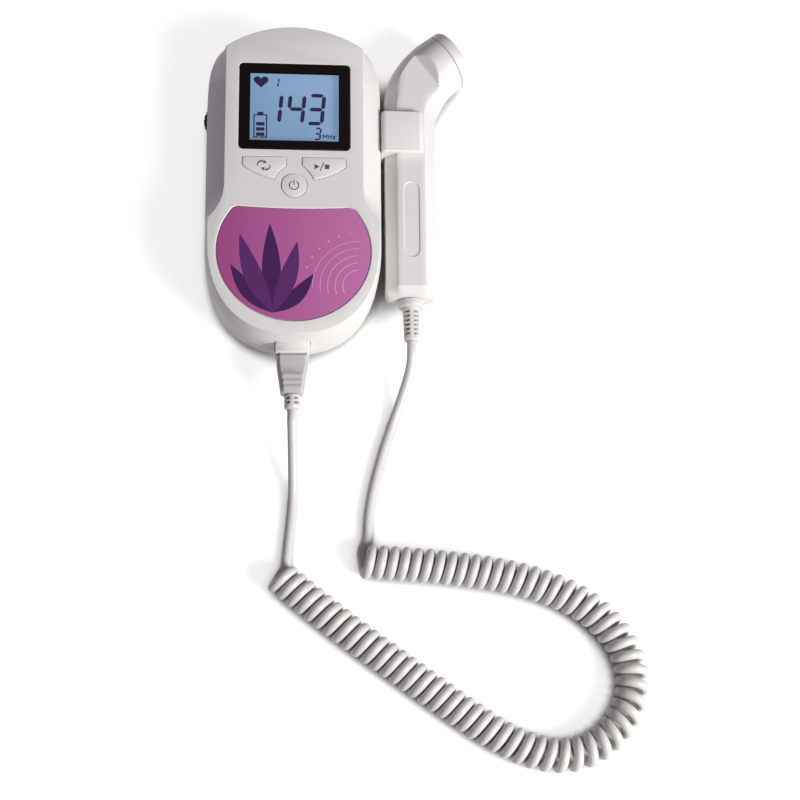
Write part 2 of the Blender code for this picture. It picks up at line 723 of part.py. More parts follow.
def make_rear_shell():
    """Rear shell with its speaker grille, battery bay, door recess and screw posts."""
    outside = back_rings(0.0, 0.0)
    outside.append(case_ring(SEAM_HEIGHT - CLEARANCE / 2))
    shell = loft("rear_shell", outside, WHITE)
    inside = back_rings(CASE_WALL, CASE_WALL)
    inside.append(case_ring(SEAM_HEIGHT + CUT_OVERRUN, 0.0, CASE_WALL))
    cut(shell, loft("rear_space", inside, cutter=True))
    rim = SEAM_HEIGHT - CLEARANCE / 2
    low, high = bay_frame(BAY_WALL)
    foot = CASE_WALL * BAY_FOOT_SHARE
    join(shell, box("bay_block", (*low, foot), (*high, rim), cutter=True))
    shelf = DOOR_HALF_WIDTH + BAY_WALL
    shelf_top = DOOR_TOP + CLEARANCE + BAY_WALL
    join(shell, prism("door_shelf", shelf_outline(shelf, low[1]), foot, shelf_top, cutter=True))
    for i, (x, y) in enumerate(SCREWS):
        start = (x, y, CASE_WALL / 2)
        join(shell, rod(f"rear_post_{i}", BOSS_RADIUS, start, (x, y, rim), cutter=True))
        start, end = (x, y, -CUT_OVERRUN), (x, y, SEAM_HEIGHT + CUT_OVERRUN)
        bore = SCREW_RADIUS + CLEARANCE
        cut(shell, rod(f"rear_bore_{i}", bore, start, end, cutter=True, sides=16))
        end = (x, y, SCREW_HEAD_DEPTH + SCREW_HEAD_HEIGHT + CLEARANCE)
        sink = SCREW_HEAD_RADIUS + CLEARANCE
        cut(shell, rod(f"screw_sink_{i}", sink, start, end, cutter=True))
    low, high = bay_frame(0.0)
    top = SEAM_HEIGHT + CUT_OVERRUN
    cut(shell, box("bay_space", (*low, -CUT_OVERRUN), (*high, top), cutter=True))
    edge = DOOR_HALF_WIDTH + CLEARANCE
    low = (-edge, -CASE_BOTTOM - CUT_OVERRUN, -CUT_OVERRUN)
    high = (edge, DOOR_TOP_Y + CLEARANCE, DOOR_TOP + CLEARANCE)
    cut(shell, box("door_recess", low, high, cutter=True))
    cut(shell, port_cutter("rear_port_cut"))
    for i, (x, y) in enumerate(grille_points()):
        start, end = (x, y, -CUT_OVERRUN), (x, y, CASE_WALL + CUT_OVERRUN)
        cut(shell, rod(f"grille_{i}", GRILLE_HOLE, start, end, cutter=True, sides=8))
    return shell


def make_battery_door():
    """Sliding door: a plate trimmed to the case's rounded back, with finger ribs."""
    low = (-DOOR_HALF_WIDTH, -CASE_BOTTOM, DOOR_STEP)
    door = box("battery_door", low, (DOOR_HALF_WIDTH, DOOR_TOP_Y, DOOR_TOP), WHITE)
    rings = back_rings(0.0, 0.0, 8)[:6]
    combine(door, loft("door_trim", rings, cutter=True), "INTERSECT")
    for i in range(DOOR_RIB_COUNT):
        y = DOOR_TOP_Y - DOOR_RIB_WIDTH * (3 + 2 * i)
        half = DOOR_HALF_WIDTH / 3
        low = (-half, y - DOOR_RIB_WIDTH / 2, DOOR_STEP - CUT_OVERRUN)
        high = (half, y + DOOR_RIB_WIDTH / 2, DOOR_STEP + DOOR_THICKNESS / 3)
        cut(door, box(f"finger_groove_{i}", low, high, cutter=True))
    return door


def make_batteries():
    """Two cells side by side, facing opposite ways."""
    middle = BAY_TOP_Y - BAY_LENGTH / 2
    for name, side, facing in (("battery_left", -1, 1), ("battery_right", 1, -1)):
        half = (CELL_LENGTH + CELL_NUB_LENGTH) / 2
        profile = [
            (0.0, half),
            (CELL_NUB_RADIUS, half),
            (CELL_NUB_RADIUS, half - CELL_NUB_LENGTH),
            (CELL_RADIUS - FILLET, half - CELL_NUB_LENGTH),
            (CELL_RADIUS, half - CELL_NUB_LENGTH - FILLET),
            (CELL_RADIUS, -half + FILLET),
            (CELL_RADIUS - FILLET, -half),
            (0.0, -half),
        ]
        place = (side * CELL_X, middle, CELL_HEIGHT)
        turned(name, profile, place, (-facing * math.pi / 2, 0.0, 0.0), CELL)


def make_contacts():
    """Spring plates at the ends of the cells."""
    half_height = CELL_RADIUS * 0.8
    spans = {
        "contact_bridge": (-(CELL_X + CELL_RADIUS * 0.7), CELL_X + CELL_RADIUS * 0.7, BAY_TOP_Y, -1),
        "contact_left": (-(CELL_X + CELL_RADIUS * 0.7), -CELL_X / 2, BAY_BOTTOM_Y, 1),
        "contact_right": (CELL_X / 2, CELL_X + CELL_RADIUS * 0.7, BAY_BOTTOM_Y, 1),
    }
    for name, (left, right, wall_y, inward) in spans.items():
        near = wall_y + inward * CLEARANCE
        far = near + inward * CONTACT_THICKNESS
        low = (left, min(near, far), CELL_HEIGHT - half_height)
        box(name, low, (right, max(near, far), CELL_HEIGHT + half_height), STEEL)


def make_screws():
    """Housing screws, driven in from the back."""
    for i, (x, y) in enumerate(SCREWS):
        head = SCREW_HEAD_HEIGHT
        profile = [
            (0.0, SCREW_LENGTH),
            (SCREW_RADIUS * 0.6, SCREW_LENGTH),
            (SCREW_RADIUS, SCREW_LENGTH - 2 * SCREW_RADIUS),
            (SCREW_RADIUS, head),
            (SCREW_HEAD_RADIUS, head),
            (SCREW_HEAD_RADIUS, FILLET),
            (SCREW_HEAD_RADIUS - FILLET, 0.0),
            (0.0, 0.0),
        ]
        place = (x, y, SCREW_HEAD_DEPTH)
        screw = turned(f"housing_screw_{i + 1}", profile, place, (0.0, 0.0, 0.0), STEEL, 16)
        slot = (SCREW_HEAD_RADIUS, SCREW_RADIUS / 5, SCREW_HEAD_HEIGHT / 2)
        for k, (across, along) in enumerate(((0, 1), (1, 0))):
            wide, narrow = slot[0] * 0.6, slot[1]
            half = (wide, narrow) if across == 0 else (narrow, wide)
            low = (x - half[0], y - half[1], SCREW_HEAD_DEPTH - CUT_OVERRUN)
            high = (x + half[0], y + half[1], SCREW_HEAD_DEPTH + slot[2])
            cut(screw, box(f"drive_{i}_{k}", low, high, cutter=True))


def make_display():
    """Window plate, liquid-crystal glass and the frame that holds it on the board."""
    outline = rounded_rectangle(WINDOW_HALF_WIDTH, WINDOW_BOTTOM, WINDOW_TOP, WINDOW_CORNER)
    low = WINDOW_FLOOR + CLEARANCE
    prism("display_window", outline, low, CASE_DEPTH, CLEAR)
    top = KEY_SEAT
    glass_x = VIEW_HALF_WIDTH + GLASS_BORDER
    glass_low, glass_high = VIEW_BOTTOM - GLASS_BORDER, VIEW_TOP + GLASS_BORDER
    glass_floor = top - GLASS_THICKNESS
    box("lcd_glass", (-glass_x, glass_low, glass_floor), (glass_x, glass_high, top), BLUE)
    frame_x = glass_x + FRAME_WALL + CLEARANCE
    frame_low, frame_high = (v - s * (FRAME_WALL + CLEARANCE) for v, s in ((glass_low, 1), (glass_high, -1)))
    floor = BOARD_TOP + CLEARANCE
    frame = box("lcd_frame", (-frame_x, frame_low, floor), (frame_x, frame_high, top), WHITE)
    pocket_x = glass_x + CLEARANCE
    low = (-pocket_x, glass_low - CLEARANCE, glass_floor - CLEARANCE)
    high = (pocket_x, glass_high + CLEARANCE, top + CUT_OVERRUN)
    cut(frame, box("glass_pocket", low, high, cutter=True))


def make_keys():
    """Key caps with the flange that keeps them in the shell, and their switches."""
    finish = WHITE
    for name, outline in KEYS.items():
        top = CASE_DEPTH + KEY_PROUD
        flange_low = KEY_SEAT - KEY_FLANGE_THICKNESS
        centre = sum((Vector(point) for point in outline), Vector((0.0, 0.0))) / len(outline)
        local = [tuple(Vector(point) - centre) for point in outline]
        cap = prism(name, local, 0.0, top - flange_low, finish)
        skirt = offset(local, KEY_FLANGE)
        skirt_top = KEY_FLANGE_THICKNESS
        skirt_name = name + "_skirt"
        flange = prism(skirt_name, skirt, 0.0, skirt_top, cutter=True)
        origin = (centre.x, centre.y, flange_low)
        cap.location = Vector(origin) + Vector((0.0, 0.0, (top - flange_low) / 2))
        flange.location = Vector(origin) + Vector((0.0, 0.0, skirt_top / 2))
        join(cap, flange)
        soften(cap, FILLET / 2)
        make_switch(name.replace("_key", "_switch"), centre.x, centre.y)


def make_switch(name, x, y):
    """Tact switch on the board, under a key."""
    floor = BOARD_TOP + CLEARANCE
    half = SWITCH_SIZE / 2
    body = box(name, (x - half, y - half, floor), (x + half, y + half, floor + SWITCH_HEIGHT), BLACK)
    plunger_top = KEY_SEAT - KEY_FLANGE_THICKNESS - KEY_TRAVEL - CLEARANCE
    start = (x, y, floor + SWITCH_HEIGHT / 2)
    join(body, rod(name + "_plunger", PLUNGER_RADIUS, start, (x, y, plunger_top), cutter=True, sides=16))


def make_label():
    """Face label in its recess."""
    prism("front_label", label_outline(), CASE_DEPTH - LABEL_THICKNESS, CASE_DEPTH, PINK)


def make_board():
    """Main board that fills the case, cut round the screw bosses and the jack."""
    ring = case_ring(0.0, 0.0, CASE_WALL + BOARD_MARGIN)
    outline = [(x, y) for x, y, z in ring]
    low = BOARD_TOP - BOARD_THICKNESS
    board = prism("main_board", outline, low, BOARD_TOP, BOARD_GREEN)
    for i, (x, y) in enumerate(SCREWS):
        hole = BOSS_RADIUS + CLEARANCE
        start, end = (x, y, low - CUT_OVERRUN), (x, y, BOARD_TOP + CUT_OVERRUN)
        cut(board, rod(f"board_hole_{i}", hole, start, end, cutter=True))
    cut(board, port_cutter("board_port_cut"))


def make_speaker():
    """Speaker over the grille: a stepped can."""
    low = CASE_WALL + CLEARANCE
    profile = [
        (0.0, SPEAKER_DEPTH),
        (SPEAKER_RADIUS * 0.45, SPEAKER_DEPTH),
        (SPEAKER_RADIUS * 0.5, SPEAKER_DEPTH * 0.6),
        (SPEAKER_RADIUS * 0.9, SPEAKER_DEPTH * 0.35),
        (SPEAKER_RADIUS, SPEAKER_DEPTH * 0.3),
        (SPEAKER_RADIUS, 0.0),
        (0.0, 0.0),
    ]
    turned("speaker", profile, (0.0, SPEAKER_Y, low), (0.0, 0.0, 0.0), BLACK)


def make_jack():
    """Earphone jack under the board, with its bore towards the top end."""
    top_wall = CASE_TOP - 3 * CASE_WALL
    low = (JACK_X - JACK_WIDTH / 2, top_wall - JACK_LENGTH, JACK_Z - JACK_HEIGHT / 2)
    high = (JACK_X + JACK_WIDTH / 2, top_wall, JACK_Z + JACK_HEIGHT / 2)
    jack = box("earphone_jack", low, high, BLACK)
    start = (JACK_X, top_wall - JACK_LENGTH * 0.8, JACK_Z)
    end = (JACK_X, top_wall + CUT_OVERRUN, JACK_Z)
    cut(jack, rod("jack_bore", JACK_RADIUS, start, end, cutter=True, sides=16))


def make_wheel():
    """Volume wheel with a knurled rim, and the switch body whose pin it turns on."""
    outline = []
    steps = WHEEL_TEETH * 2
    for i in range(steps):
        angle = 2 * math.pi * i / steps
        radius = WHEEL_RADIUS - (WHEEL_NOTCH if i % 2 else 0.0)
        outline.append((radius * math.cos(angle), radius * math.sin(angle)))
    half = WHEEL_THICKNESS / 2
    wheel = prism("volume_wheel", outline, -half, half, BLACK)
    wheel.location = (WHEEL_X, WHEEL_Y, WHEEL_HEIGHT)
    pin_low = WHEEL_HEIGHT - half
    start = (WHEEL_X, WHEEL_Y, pin_low - CUT_OVERRUN)
    end = (WHEEL_X, WHEEL_Y, WHEEL_HEIGHT + half + CUT_OVERRUN)
    cut(wheel, rod("wheel_bore", WHEEL_PIN_RADIUS + CLEARANCE, start, end, cutter=True))
    size = WHEEL_SWITCH_SIZE / 2
    body_low = WHEEL_HEIGHT + half + CLEARANCE
    body_high = BOARD_TOP - BOARD_THICKNESS - CLEARANCE
    shift = WHEEL_X + size / 2
    low = (shift - size, WHEEL_Y - size, body_low)
    body = box("volume_switch", low, (shift + size, WHEEL_Y + size, body_high), BLACK)
    start = (WHEEL_X, WHEEL_Y, pin_low)
    middle = (WHEEL_X, WHEEL_Y, (body_low + body_high) / 2)
    join(body, rod("wheel_pin", WHEEL_PIN_RADIUS, start, middle, cutter=True))


def rectangle_ring(half_width, half_height, y, corner_share=0.25):
    """Ring of a rectangle with cut corners, across the plug's axis."""
    c = corner_share * half_height
    points = [
        (half_width, half_height - c),
        (half_width - c, half_height),
        (-(half_width - c), half_height),
        (-half_width, half_height - c),
        (-half_width, -(half_height - c)),
        (-(half_width - c), -half_height),
        (half_width - c, -half_height),
        (half_width, -(half_height - c)),
    ]
    return [(x, y, PORT_HEIGHT + z) for x, z in points]


def make_port():
    """Socket in the case's bottom end."""
    low = (-PORT_HALF_WIDTH, PORT_END, PORT_LOW)
    high = (PORT_HALF_WIDTH, PORT_END + PORT_DEPTH, PORT_HIGH)
    port = box("probe_socket", low, high, WHITE)
    soften(port, FILLET)
    inner = PORT_HALF_WIDTH - PORT_WALL
    inner_height = PORT_HALF_HEIGHT - PORT_WALL
    low = (-inner, PORT_END - CUT_OVERRUN, PORT_HEIGHT - inner_height)
    high = (inner, PORT_END + PORT_DEPTH - PORT_WALL / 2, PORT_HEIGHT + inner_height)
    cut(port, box("socket_space", low, high, cutter=True))


def make_plug():
    """Plug: connector nose, ribbed grip and slotted boot, with origins on its slide axis."""
    nose_x = PORT_HALF_WIDTH - PORT_WALL - CLEARANCE
    nose_z = PORT_HALF_HEIGHT - PORT_WALL - CLEARANCE
    start = PORT_END - CLEARANCE
    low = (-nose_x, start, PORT_HEIGHT - nose_z)
    high = (nose_x, start + PLUG_NOSE_LENGTH, PORT_HEIGHT + nose_z)
    box("plug_connector", low, high, GREY)
    top = start - CLEARANCE
    rings = [
        rectangle_ring(PLUG_HALF_WIDTH, PLUG_HALF_HEIGHT, top),
        rectangle_ring(PLUG_HALF_WIDTH, PLUG_HALF_HEIGHT, top - PLUG_LENGTH * 0.25),
        rectangle_ring(PLUG_TAIL_HALF_WIDTH, PLUG_TAIL_HALF_HEIGHT, top - PLUG_LENGTH * 0.92),
        rectangle_ring(PLUG_TAIL_HALF_WIDTH * 0.8, PLUG_TAIL_HALF_HEIGHT * 0.8, top - PLUG_LENGTH),
    ]
    grip = loft("plug_grip", rings[::-1], GREY)
    for i in range(PLUG_RIBS):
        y = top - PLUG_LENGTH * 0.55 - i * PLUG_RIB_PITCH
        share = (top - y) / PLUG_LENGTH
        half = mix(PLUG_HALF_WIDTH, PLUG_TAIL_HALF_WIDTH, share) - CLEARANCE
        height = mix(PLUG_HALF_HEIGHT, PLUG_TAIL_HALF_HEIGHT, share) + PLUG_RIB_HEIGHT
        low = (-half, y - PLUG_RIB_PITCH / 4, PORT_HEIGHT - height)
        high = (half, y + PLUG_RIB_PITCH / 4, PORT_HEIGHT + height)
        join(grip, box(f"grip_rib_{i}", low, high, cutter=True))
    end = top - PLUG_LENGTH - CLEARANCE
    place = (0.0, end, PORT_HEIGHT)
    tip = PLUG_BOOT_RADIUS - FILLET
    shoulder = PLUG_BOOT_LENGTH - 2 * FILLET
    stations = [(PLUG_BOOT_RADIUS, 0.0), (PLUG_BOOT_RADIUS, shoulder), (tip, PLUG_BOOT_LENGTH)]
    make_boot("plug_boot", place, stations, PLUG_BOOT_FIRST_SLOT, PLUG_BOOT_SLOTS)
    return end - PLUG_BOOT_LENGTH


def make_boot(name, place, stations, first, slots):
    """Strain relief that runs to -Y from its place, with slots beside its spine down to a core."""
    length = stations[-1][1]
    profile = [(0.0, length)] + [(radius, reach) for radius, reach in reversed(stations)]
    boot = turned(name, profile + [(0.0, 0.0)], place, (math.pi / 2, 0.0, 0.0), GREY)
    x, y, z = place
    outside = stations[0][0] + CUT_OVERRUN
    for i in range(slots):
        centre = y - first - BOOT_SLOT_PITCH * i
        for side in (-1, 1):
            near, far = sorted((x + side * BOOT_SPINE, x + side * outside))
            low = (near, centre - BOOT_SLOT_WIDTH / 2, z - outside)
            high = (far, centre + BOOT_SLOT_WIDTH / 2, z + outside)
            cut(boot, box(f"{name}_slot_{i}_{side}", low, high, cutter=True))
    core_start = (x, y - first + BOOT_SLOT_PITCH / 2, z)
    core_end = (x, y - first - BOOT_SLOT_PITCH * (slots - 0.5), z)
    return join(boot, rod(name + "_core", BOOT_CORE_RADIUS, core_start, core_end, cutter=True))


def make_clip():
    """Clip on the case's side: a pad and two arms round the probe, on two tongues."""
    outer = CASE_HALF_WIDTH + CLEARANCE
    half = HANDLE_HALF_DEPTH + CLEARANCE
    side_flat = HANDLE_HALF_DEPTH * HANDLE_FLAT_SHARE
    front_flat = PROBE_X - HANDLE_HALF_WIDTH * HANDLE_FLAT_SHARE - CLEARANCE / 2
    upper = [
        (CLIP_INNER_X, side_flat),
        (front_flat, half),
        (CLIP_REACH, half),
        (CLIP_REACH, half + CLIP_ARM * 0.4),
        (CLIP_REACH - CLIP_ARM * 0.6, half + CLIP_ARM),
    ]
    centre = (outer + CLIP_CORNER, half + CLIP_ARM - CLIP_CORNER)
    for i in range(CLIP_CORNER_STEPS + 1):
        turn = math.pi / 2 * (1 + i / CLIP_CORNER_STEPS)
        upper.append((centre[0] + CLIP_CORNER * math.cos(turn), centre[1] + CLIP_CORNER * math.sin(turn)))
    outline = upper + [(x, -z) for x, z in reversed(upper)]
    half_length = (CLIP_TOP_Y - CLIP_BOTTOM_Y) / 2
    clip = prism("probe_clip", outline, -half_length, half_length, WHITE)
    clip.location = (0.0, CLIP_BOTTOM_Y + half_length, PROBE_HEIGHT)
    clip.rotation_euler = (math.pi / 2, 0.0, 0.0)
    for i, y in enumerate(TONGUE_YS):
        reach, rise = CLIP_TONGUE_LENGTH / 2, CLIP_TONGUE_HEIGHT / 2
        low = (outer - CLIP_TONGUE_REACH, y - reach, TONGUE_HEIGHT - rise)
        high = (CLIP_INNER_X - CLEARANCE, y + reach, TONGUE_HEIGHT + rise)
        join(clip, box(f"clip_tongue_{i}", low, high, cutter=True))
    return clip


CAP_EDGE_SHARE = 0.3
HEAD_DIRECTION = Vector((math.cos(HEAD_ANGLE), math.sin(HEAD_ANGLE), 0.0))
BEND_TURN = math.pi / 2 - HEAD_ANGLE
BEND_RADIUS = 34.0 * MM
BEND_REACH = BEND_RADIUS * math.tan(BEND_TURN / 2)
FLAT_END = 7.65 * MM
FLAT_RISE = 0.83
CAP_START = HEAD_LENGTH - CAP_LENGTH
BEND_SHARES = [0.0, 0.17, 0.34, 0.5, 0.6, 0.7, 0.77, 0.85, 1.0]
WIDEN_BY_SHARE = 0.5
ROUND_FROM_SHARE = 0.12
ROUND_BY_SHARE = 0.62
END_SHARES = [(0.0, 0.83, 0.58), (0.25, 0.95, 0.72), (1.0, 1.0, 1.0)]
END_CHAMFER = 3.4 * MM
ROUND_DEGREES = [0, 15, 30, 45, 60, 75, 90]


def ease(share):
    """Share from 0 to 1 with a gentle start and end."""
    share = min(max(share, 0.0), 1.0)
    return share * share * (3 - 2 * share)


def depth_limit(point, wall):
    """How far the housing may stand off its seam plane: flat at first, then a ramp to the head."""
    corner = Vector((PROBE_X, BEND_Y, PROBE_HEIGHT))
    reach = (point - corner).dot(HEAD_DIRECTION)
    return HANDLE_HALF_DEPTH - wall + FLAT_RISE * max(reach - FLAT_END, 0.0)


def probe_ring(centre, direction, half_width, half_depth, roundness, half=0, seam=0.0):
    """Ring across the probe's axis: a chamfered rectangle that turns into a circle.

    A half of 1 or -1 keeps what is above or below the probe's seam, and 0 keeps it all.
    """
    flat = HANDLE_FLAT_SHARE
    slope = (1 + flat) / 2
    corners = [(1, 0), (1, flat / 2), (1, flat), (slope, slope), (flat, 1), (flat / 2, 1), (0, 1)]
    side = Vector((direction.y, -direction.x, 0.0))
    wall = HANDLE_HALF_DEPTH - half_depth
    quarters = []
    for sign in (1, -1):
        quarter = []
        for (u, v), degrees in zip(corners, ROUND_DEGREES):
            angle = math.radians(degrees)
            across = sign * mix(u, math.cos(angle), roundness) * half_width
            limit = depth_limit(centre + side * across, wall)
            rounded = min(half_width * math.sin(angle), limit)
            quarter.append((across, mix(v * half_depth, rounded, roundness)))
        quarters.append(quarter)
    upper = quarters[0] + quarters[1][-2::-1]
    if half:
        arch = [(half_width, seam)] + upper[1:-1] + [(-half_width, seam)]
        outline = [(x, z * half) for x, z in arch]
    else:
        outline = upper + [(x, -z) for x, z in reversed(upper[1:-1])]
    return [centre + side * x + Vector((0.0, 0.0, z)) for x, z in outline]


def head_point(reach, height=PROBE_HEIGHT):
    """Point on the head's axis, at a reach past the bend's corner."""
    corner = Vector((PROBE_X, BEND_Y, height))
    return corner + HEAD_DIRECTION * reach


def probe_rings(half, seam, wall=0.0):
    """Rings of half the probe from the handle's end to the cap, drawn in by a wall."""
    rings = []
    up = Vector((0.0, 1.0, 0.0))
    for share, width_share, depth_share in END_SHARES:
        y = HANDLE_END + wall + END_CHAMFER * share
        centre = Vector((PROBE_X, y, PROBE_HEIGHT))
        width = HANDLE_END_HALF_WIDTH * width_share - wall
        depth = HANDLE_HALF_DEPTH * depth_share - wall
        rings.append(probe_ring(centre, up, width, depth, 0.0, half, seam))
    pivot = Vector((PROBE_X + BEND_RADIUS, BEND_Y - BEND_REACH, PROBE_HEIGHT))
    depth = HANDLE_HALF_DEPTH - wall
    for share in BEND_SHARES:
        turn = BEND_TURN * share
        out = Vector((-math.cos(turn), math.sin(turn), 0.0))
        heading = Vector((math.sin(turn), math.cos(turn), 0.0))
        width = mix(HANDLE_HALF_WIDTH, HEAD_RADIUS, ease(share / WIDEN_BY_SHARE)) - wall
        roundness = ease((share - ROUND_FROM_SHARE) / (ROUND_BY_SHARE - ROUND_FROM_SHARE))
        centre = pivot + out * BEND_RADIUS
        rings.append(probe_ring(centre, heading, width, depth, roundness, half, seam))
    end = head_point(CAP_START - CLEARANCE / 2 + wall)
    rings.append(probe_ring(end, HEAD_DIRECTION, HEAD_RADIUS - wall, depth, 1.0, half, seam))
    return rings


def make_probe_housings():
    """Front and rear halves of the probe's moulded housing."""
    for name, half_side in (("probe_front", 1), ("probe_rear", -1)):
        half = loft(name, probe_rings(half_side, CLEARANCE / 2), WHITE)
        space = probe_rings(half_side, -CUT_OVERRUN, PROBE_WALL)
        cut(half, loft(name + "_space", space, cutter=True))
        if half_side == 1:
            corner = PROBE_RECESS_WIDTH / 2
            slot = rounded_rectangle(corner, PROBE_RECESS_BOTTOM, PROBE_RECESS_TOP, corner * 0.98)
            slot = [(x + PROBE_X, y) for x, y in slot]
            face = PROBE_HEIGHT + HANDLE_HALF_DEPTH
            cutter = prism("name_recess", slot, face - PROBE_RECESS_DEPTH, face + CUT_OVERRUN, cutter=True)
            cut(half, cutter)
        hole = PROBE_COLLAR_RADIUS * 0.5
        start = (PROBE_X, HANDLE_END - CUT_OVERRUN, PROBE_HEIGHT)
        end = (PROBE_X, HANDLE_END + PROBE_WALL + CUT_OVERRUN, PROBE_HEIGHT)
        cut(half, rod(name + "_cord_hole", hole, start, end, cutter=True, sides=16))


def make_probe_head():
    """Cap, crystal and backing at the head's end."""
    seat = CAP_START + CLEARANCE / 2
    edge = FILLET * 2
    stations = [
        (seat, 0.0),
        (HEAD_LENGTH - edge, 0.0),
        (HEAD_LENGTH - edge * CAP_EDGE_SHARE, edge * CAP_EDGE_SHARE),
        (HEAD_LENGTH, edge),
    ]
    rings = []
    for reach, inset in stations:
        radius = HEAD_RADIUS - inset
        rings.append(probe_ring(head_point(reach), HEAD_DIRECTION, radius, radius, 1.0))
    cap = loft("probe_cap", rings, WHITE)
    inner = HEAD_RADIUS - PROBE_WALL
    floor = HEAD_LENGTH - PROBE_WALL
    cut(cap, rod("cap_space", inner, head_point(seat - CUT_OVERRUN), head_point(floor), cutter=True, sides=32))
    disc = inner - CLEARANCE
    top = floor - CLEARANCE
    low = top - CRYSTAL_THICKNESS
    rod("crystal", disc, head_point(low), head_point(top), CERAMIC, sides=32)
    top = low - CLEARANCE
    rod("crystal_backing", disc, head_point(top - BACKING_THICKNESS), head_point(top), BLACK, sides=32)


def make_probe_board():
    """Amplifier board along the handle."""
    start = HANDLE_END + END_CHAMFER + 2 * PROBE_WALL
    half = BOARD_THICKNESS / 2
    rear_floor = PROBE_HEIGHT - HANDLE_HALF_DEPTH + PROBE_WALL
    low = (PROBE_X - PROBE_BOARD_HALF_WIDTH, start, PROBE_HEIGHT - half)
    high = (PROBE_X + PROBE_BOARD_HALF_WIDTH, start + PROBE_BOARD_LENGTH, PROBE_HEIGHT + half)
    board = box("probe_board", low, high, BOARD_GREEN)
    for i, share in enumerate((0.1, 0.9)):
        y = start + PROBE_BOARD_LENGTH * share
        foot = (PROBE_X, y, rear_floor + CLEARANCE)
        top = (PROBE_X, y, PROBE_HEIGHT)
        join(board, rod(f"board_pillar_{i}", PROBE_WALL, foot, top, cutter=True, sides=12))


def make_probe_relief():
    """Collar and slotted boot at the handle's end."""
    start = HANDLE_END - CLEARANCE
    collar = PROBE_COLLAR_LENGTH
    stations = [
        (PROBE_COLLAR_RADIUS, 0.0),
        (PROBE_COLLAR_RADIUS * 0.94, collar),
        (PROBE_BOOT_RADIUS, collar),
        (PROBE_BOOT_TIP_RADIUS, collar + PROBE_BOOT_LENGTH),
    ]
    place = (PROBE_X, start, PROBE_HEIGHT)
    boot = make_boot("probe_boot", place, stations, PROBE_BOOT_FIRST_SLOT, PROBE_BOOT_SLOTS)
    return boot, start - collar - PROBE_BOOT_LENGTH


def smooth_curve(points, steps=10):
    """Smooth curve that runs through every point."""
    points = [Vector(point) for point in points]
    ends = [points[0] * 2 - points[1]] + points + [points[-1] * 2 - points[-2]]
    curve = []
    for a, b, c, d in zip(ends, ends[1:], ends[2:], ends[3:]):
        for i in range(steps):
            t = i / steps
            curve.append(
                0.5 * (2 * b + (c - a) * t + (2 * a - 5 * b + 4 * c - d) * t**2
                       + (3 * b - a - 3 * c + d) * t**3)
            )
    curve.append(points[-1])
    return curve


def resample(curve, spacing):
    """Evenly spaced points along a polyline, with both ends kept."""
    lengths = [0.0]
    for a, b in zip(curve, curve[1:]):
        lengths.append(lengths[-1] + (b - a).length)
    count = max(2, round(lengths[-1] / spacing) + 1)
    result = []
    k = 0
    for i in range(count):
        goal = lengths[-1] * i / (count - 1)
        while k < len(curve) - 2 and lengths[k + 1] < goal:
            k += 1
        span = max(lengths[k + 1] - lengths[k], MM * MM)
        result.append(curve[k].lerp(curve[k + 1], (goal - lengths[k]) / span))
    return result


def tube(name, points, radius, resolution, finish):
    """Solid tube along points."""
    curve = bpy.data.curves.new(name, "CURVE")
    curve.dimensions = "3D"
    curve.bevel_depth = radius
    curve.bevel_resolution = resolution
    curve.use_fill_caps = True
    spline = curve.splines.new("POLY")
    spline.points.add(len(points) - 1)
    for item, point in zip(spline.points, points):
        item.co = (*point, 1.0)
    return register(bpy.data.objects.new(name, curve), finish)


ROUTE_SMOOTHING = 60
ROUTE_HEADING_STEPS = 3
ROUTE_BEND_STEPS = 8


def coil_points():
    """Wire of the curly cord: a left-handed helix round its route, with straight leads."""
    height = HELIX_RADIUS + CORD_DIAMETER / 2 + CURL_GAP / 4
    route = smooth_curve([(x * MM, y * MM, height) for x, y in COIL_ROUTE], 16)
    route = resample(route, MM)
    for _ in range(ROUTE_SMOOTHING):
        middle = [(a + b + c) / 3 for a, b, c in zip(route, route[1:], route[2:])]
        route = [route[0]] + middle + [route[-1]]
    count = len(route)
    headings = []
    for i in range(count):
        reach = ROUTE_HEADING_STEPS
        headings.append((route[min(i + reach, count - 1)] - route[max(i - reach, 0)]).normalized())
    turns = [0.0]
    for i in range(1, count):
        reach = ROUTE_BEND_STEPS
        low, high = max(i - reach, 0), min(i + reach, count - 1)
        bend = headings[low].angle(headings[high]) / ((high - low) * MM)
        pitch = (CORD_DIAMETER + CURL_GAP) / (1 - min(bend * HELIX_RADIUS, 0.6))
        turns.append(turns[-1] + (route[i] - route[i - 1]).length / pitch)
    whole = round(turns[-1])
    turns = [turn * whole / turns[-1] for turn in turns]
    points = []
    k = 0
    for step in range(whole * CURL_POINTS + 1):
        goal = step / CURL_POINTS
        while k < count - 2 and turns[k + 1] < goal:
            k += 1
        share = (goal - turns[k]) / (turns[k + 1] - turns[k])
        centre = route[k].lerp(route[k + 1], share)
        heading = headings[k].lerp(headings[k + 1], share).normalized()
        side = Vector((heading.y, -heading.x, 0.0))
        angle = 2 * math.pi * goal
        offset_side = side * math.sin(angle) * HELIX_RADIUS
        points.append(centre + offset_side - Vector((0.0, 0.0, math.cos(angle) * HELIX_RADIUS)))
    return points, whole


def level(direction):
    """Direction with its rise taken out."""
    return Vector((direction.x, direction.y, 0.0)).normalized()


def least_gap(points, skip):
    """Least distance between parts of a wire that are a skip apart, less its diameter."""
    best = 1.0
    for i, point in enumerate(points):
        for other in range(i + skip, min(i + 3 * CURL_POINTS, len(points) - 1)):
            a, b = points[other], points[other + 1]
            run = b - a
            share = min(max((point - a).dot(run) / run.dot(run), 0.0), 1.0)
            best = min(best, (point - a - run * share).length)
    return best - CORD_DIAMETER


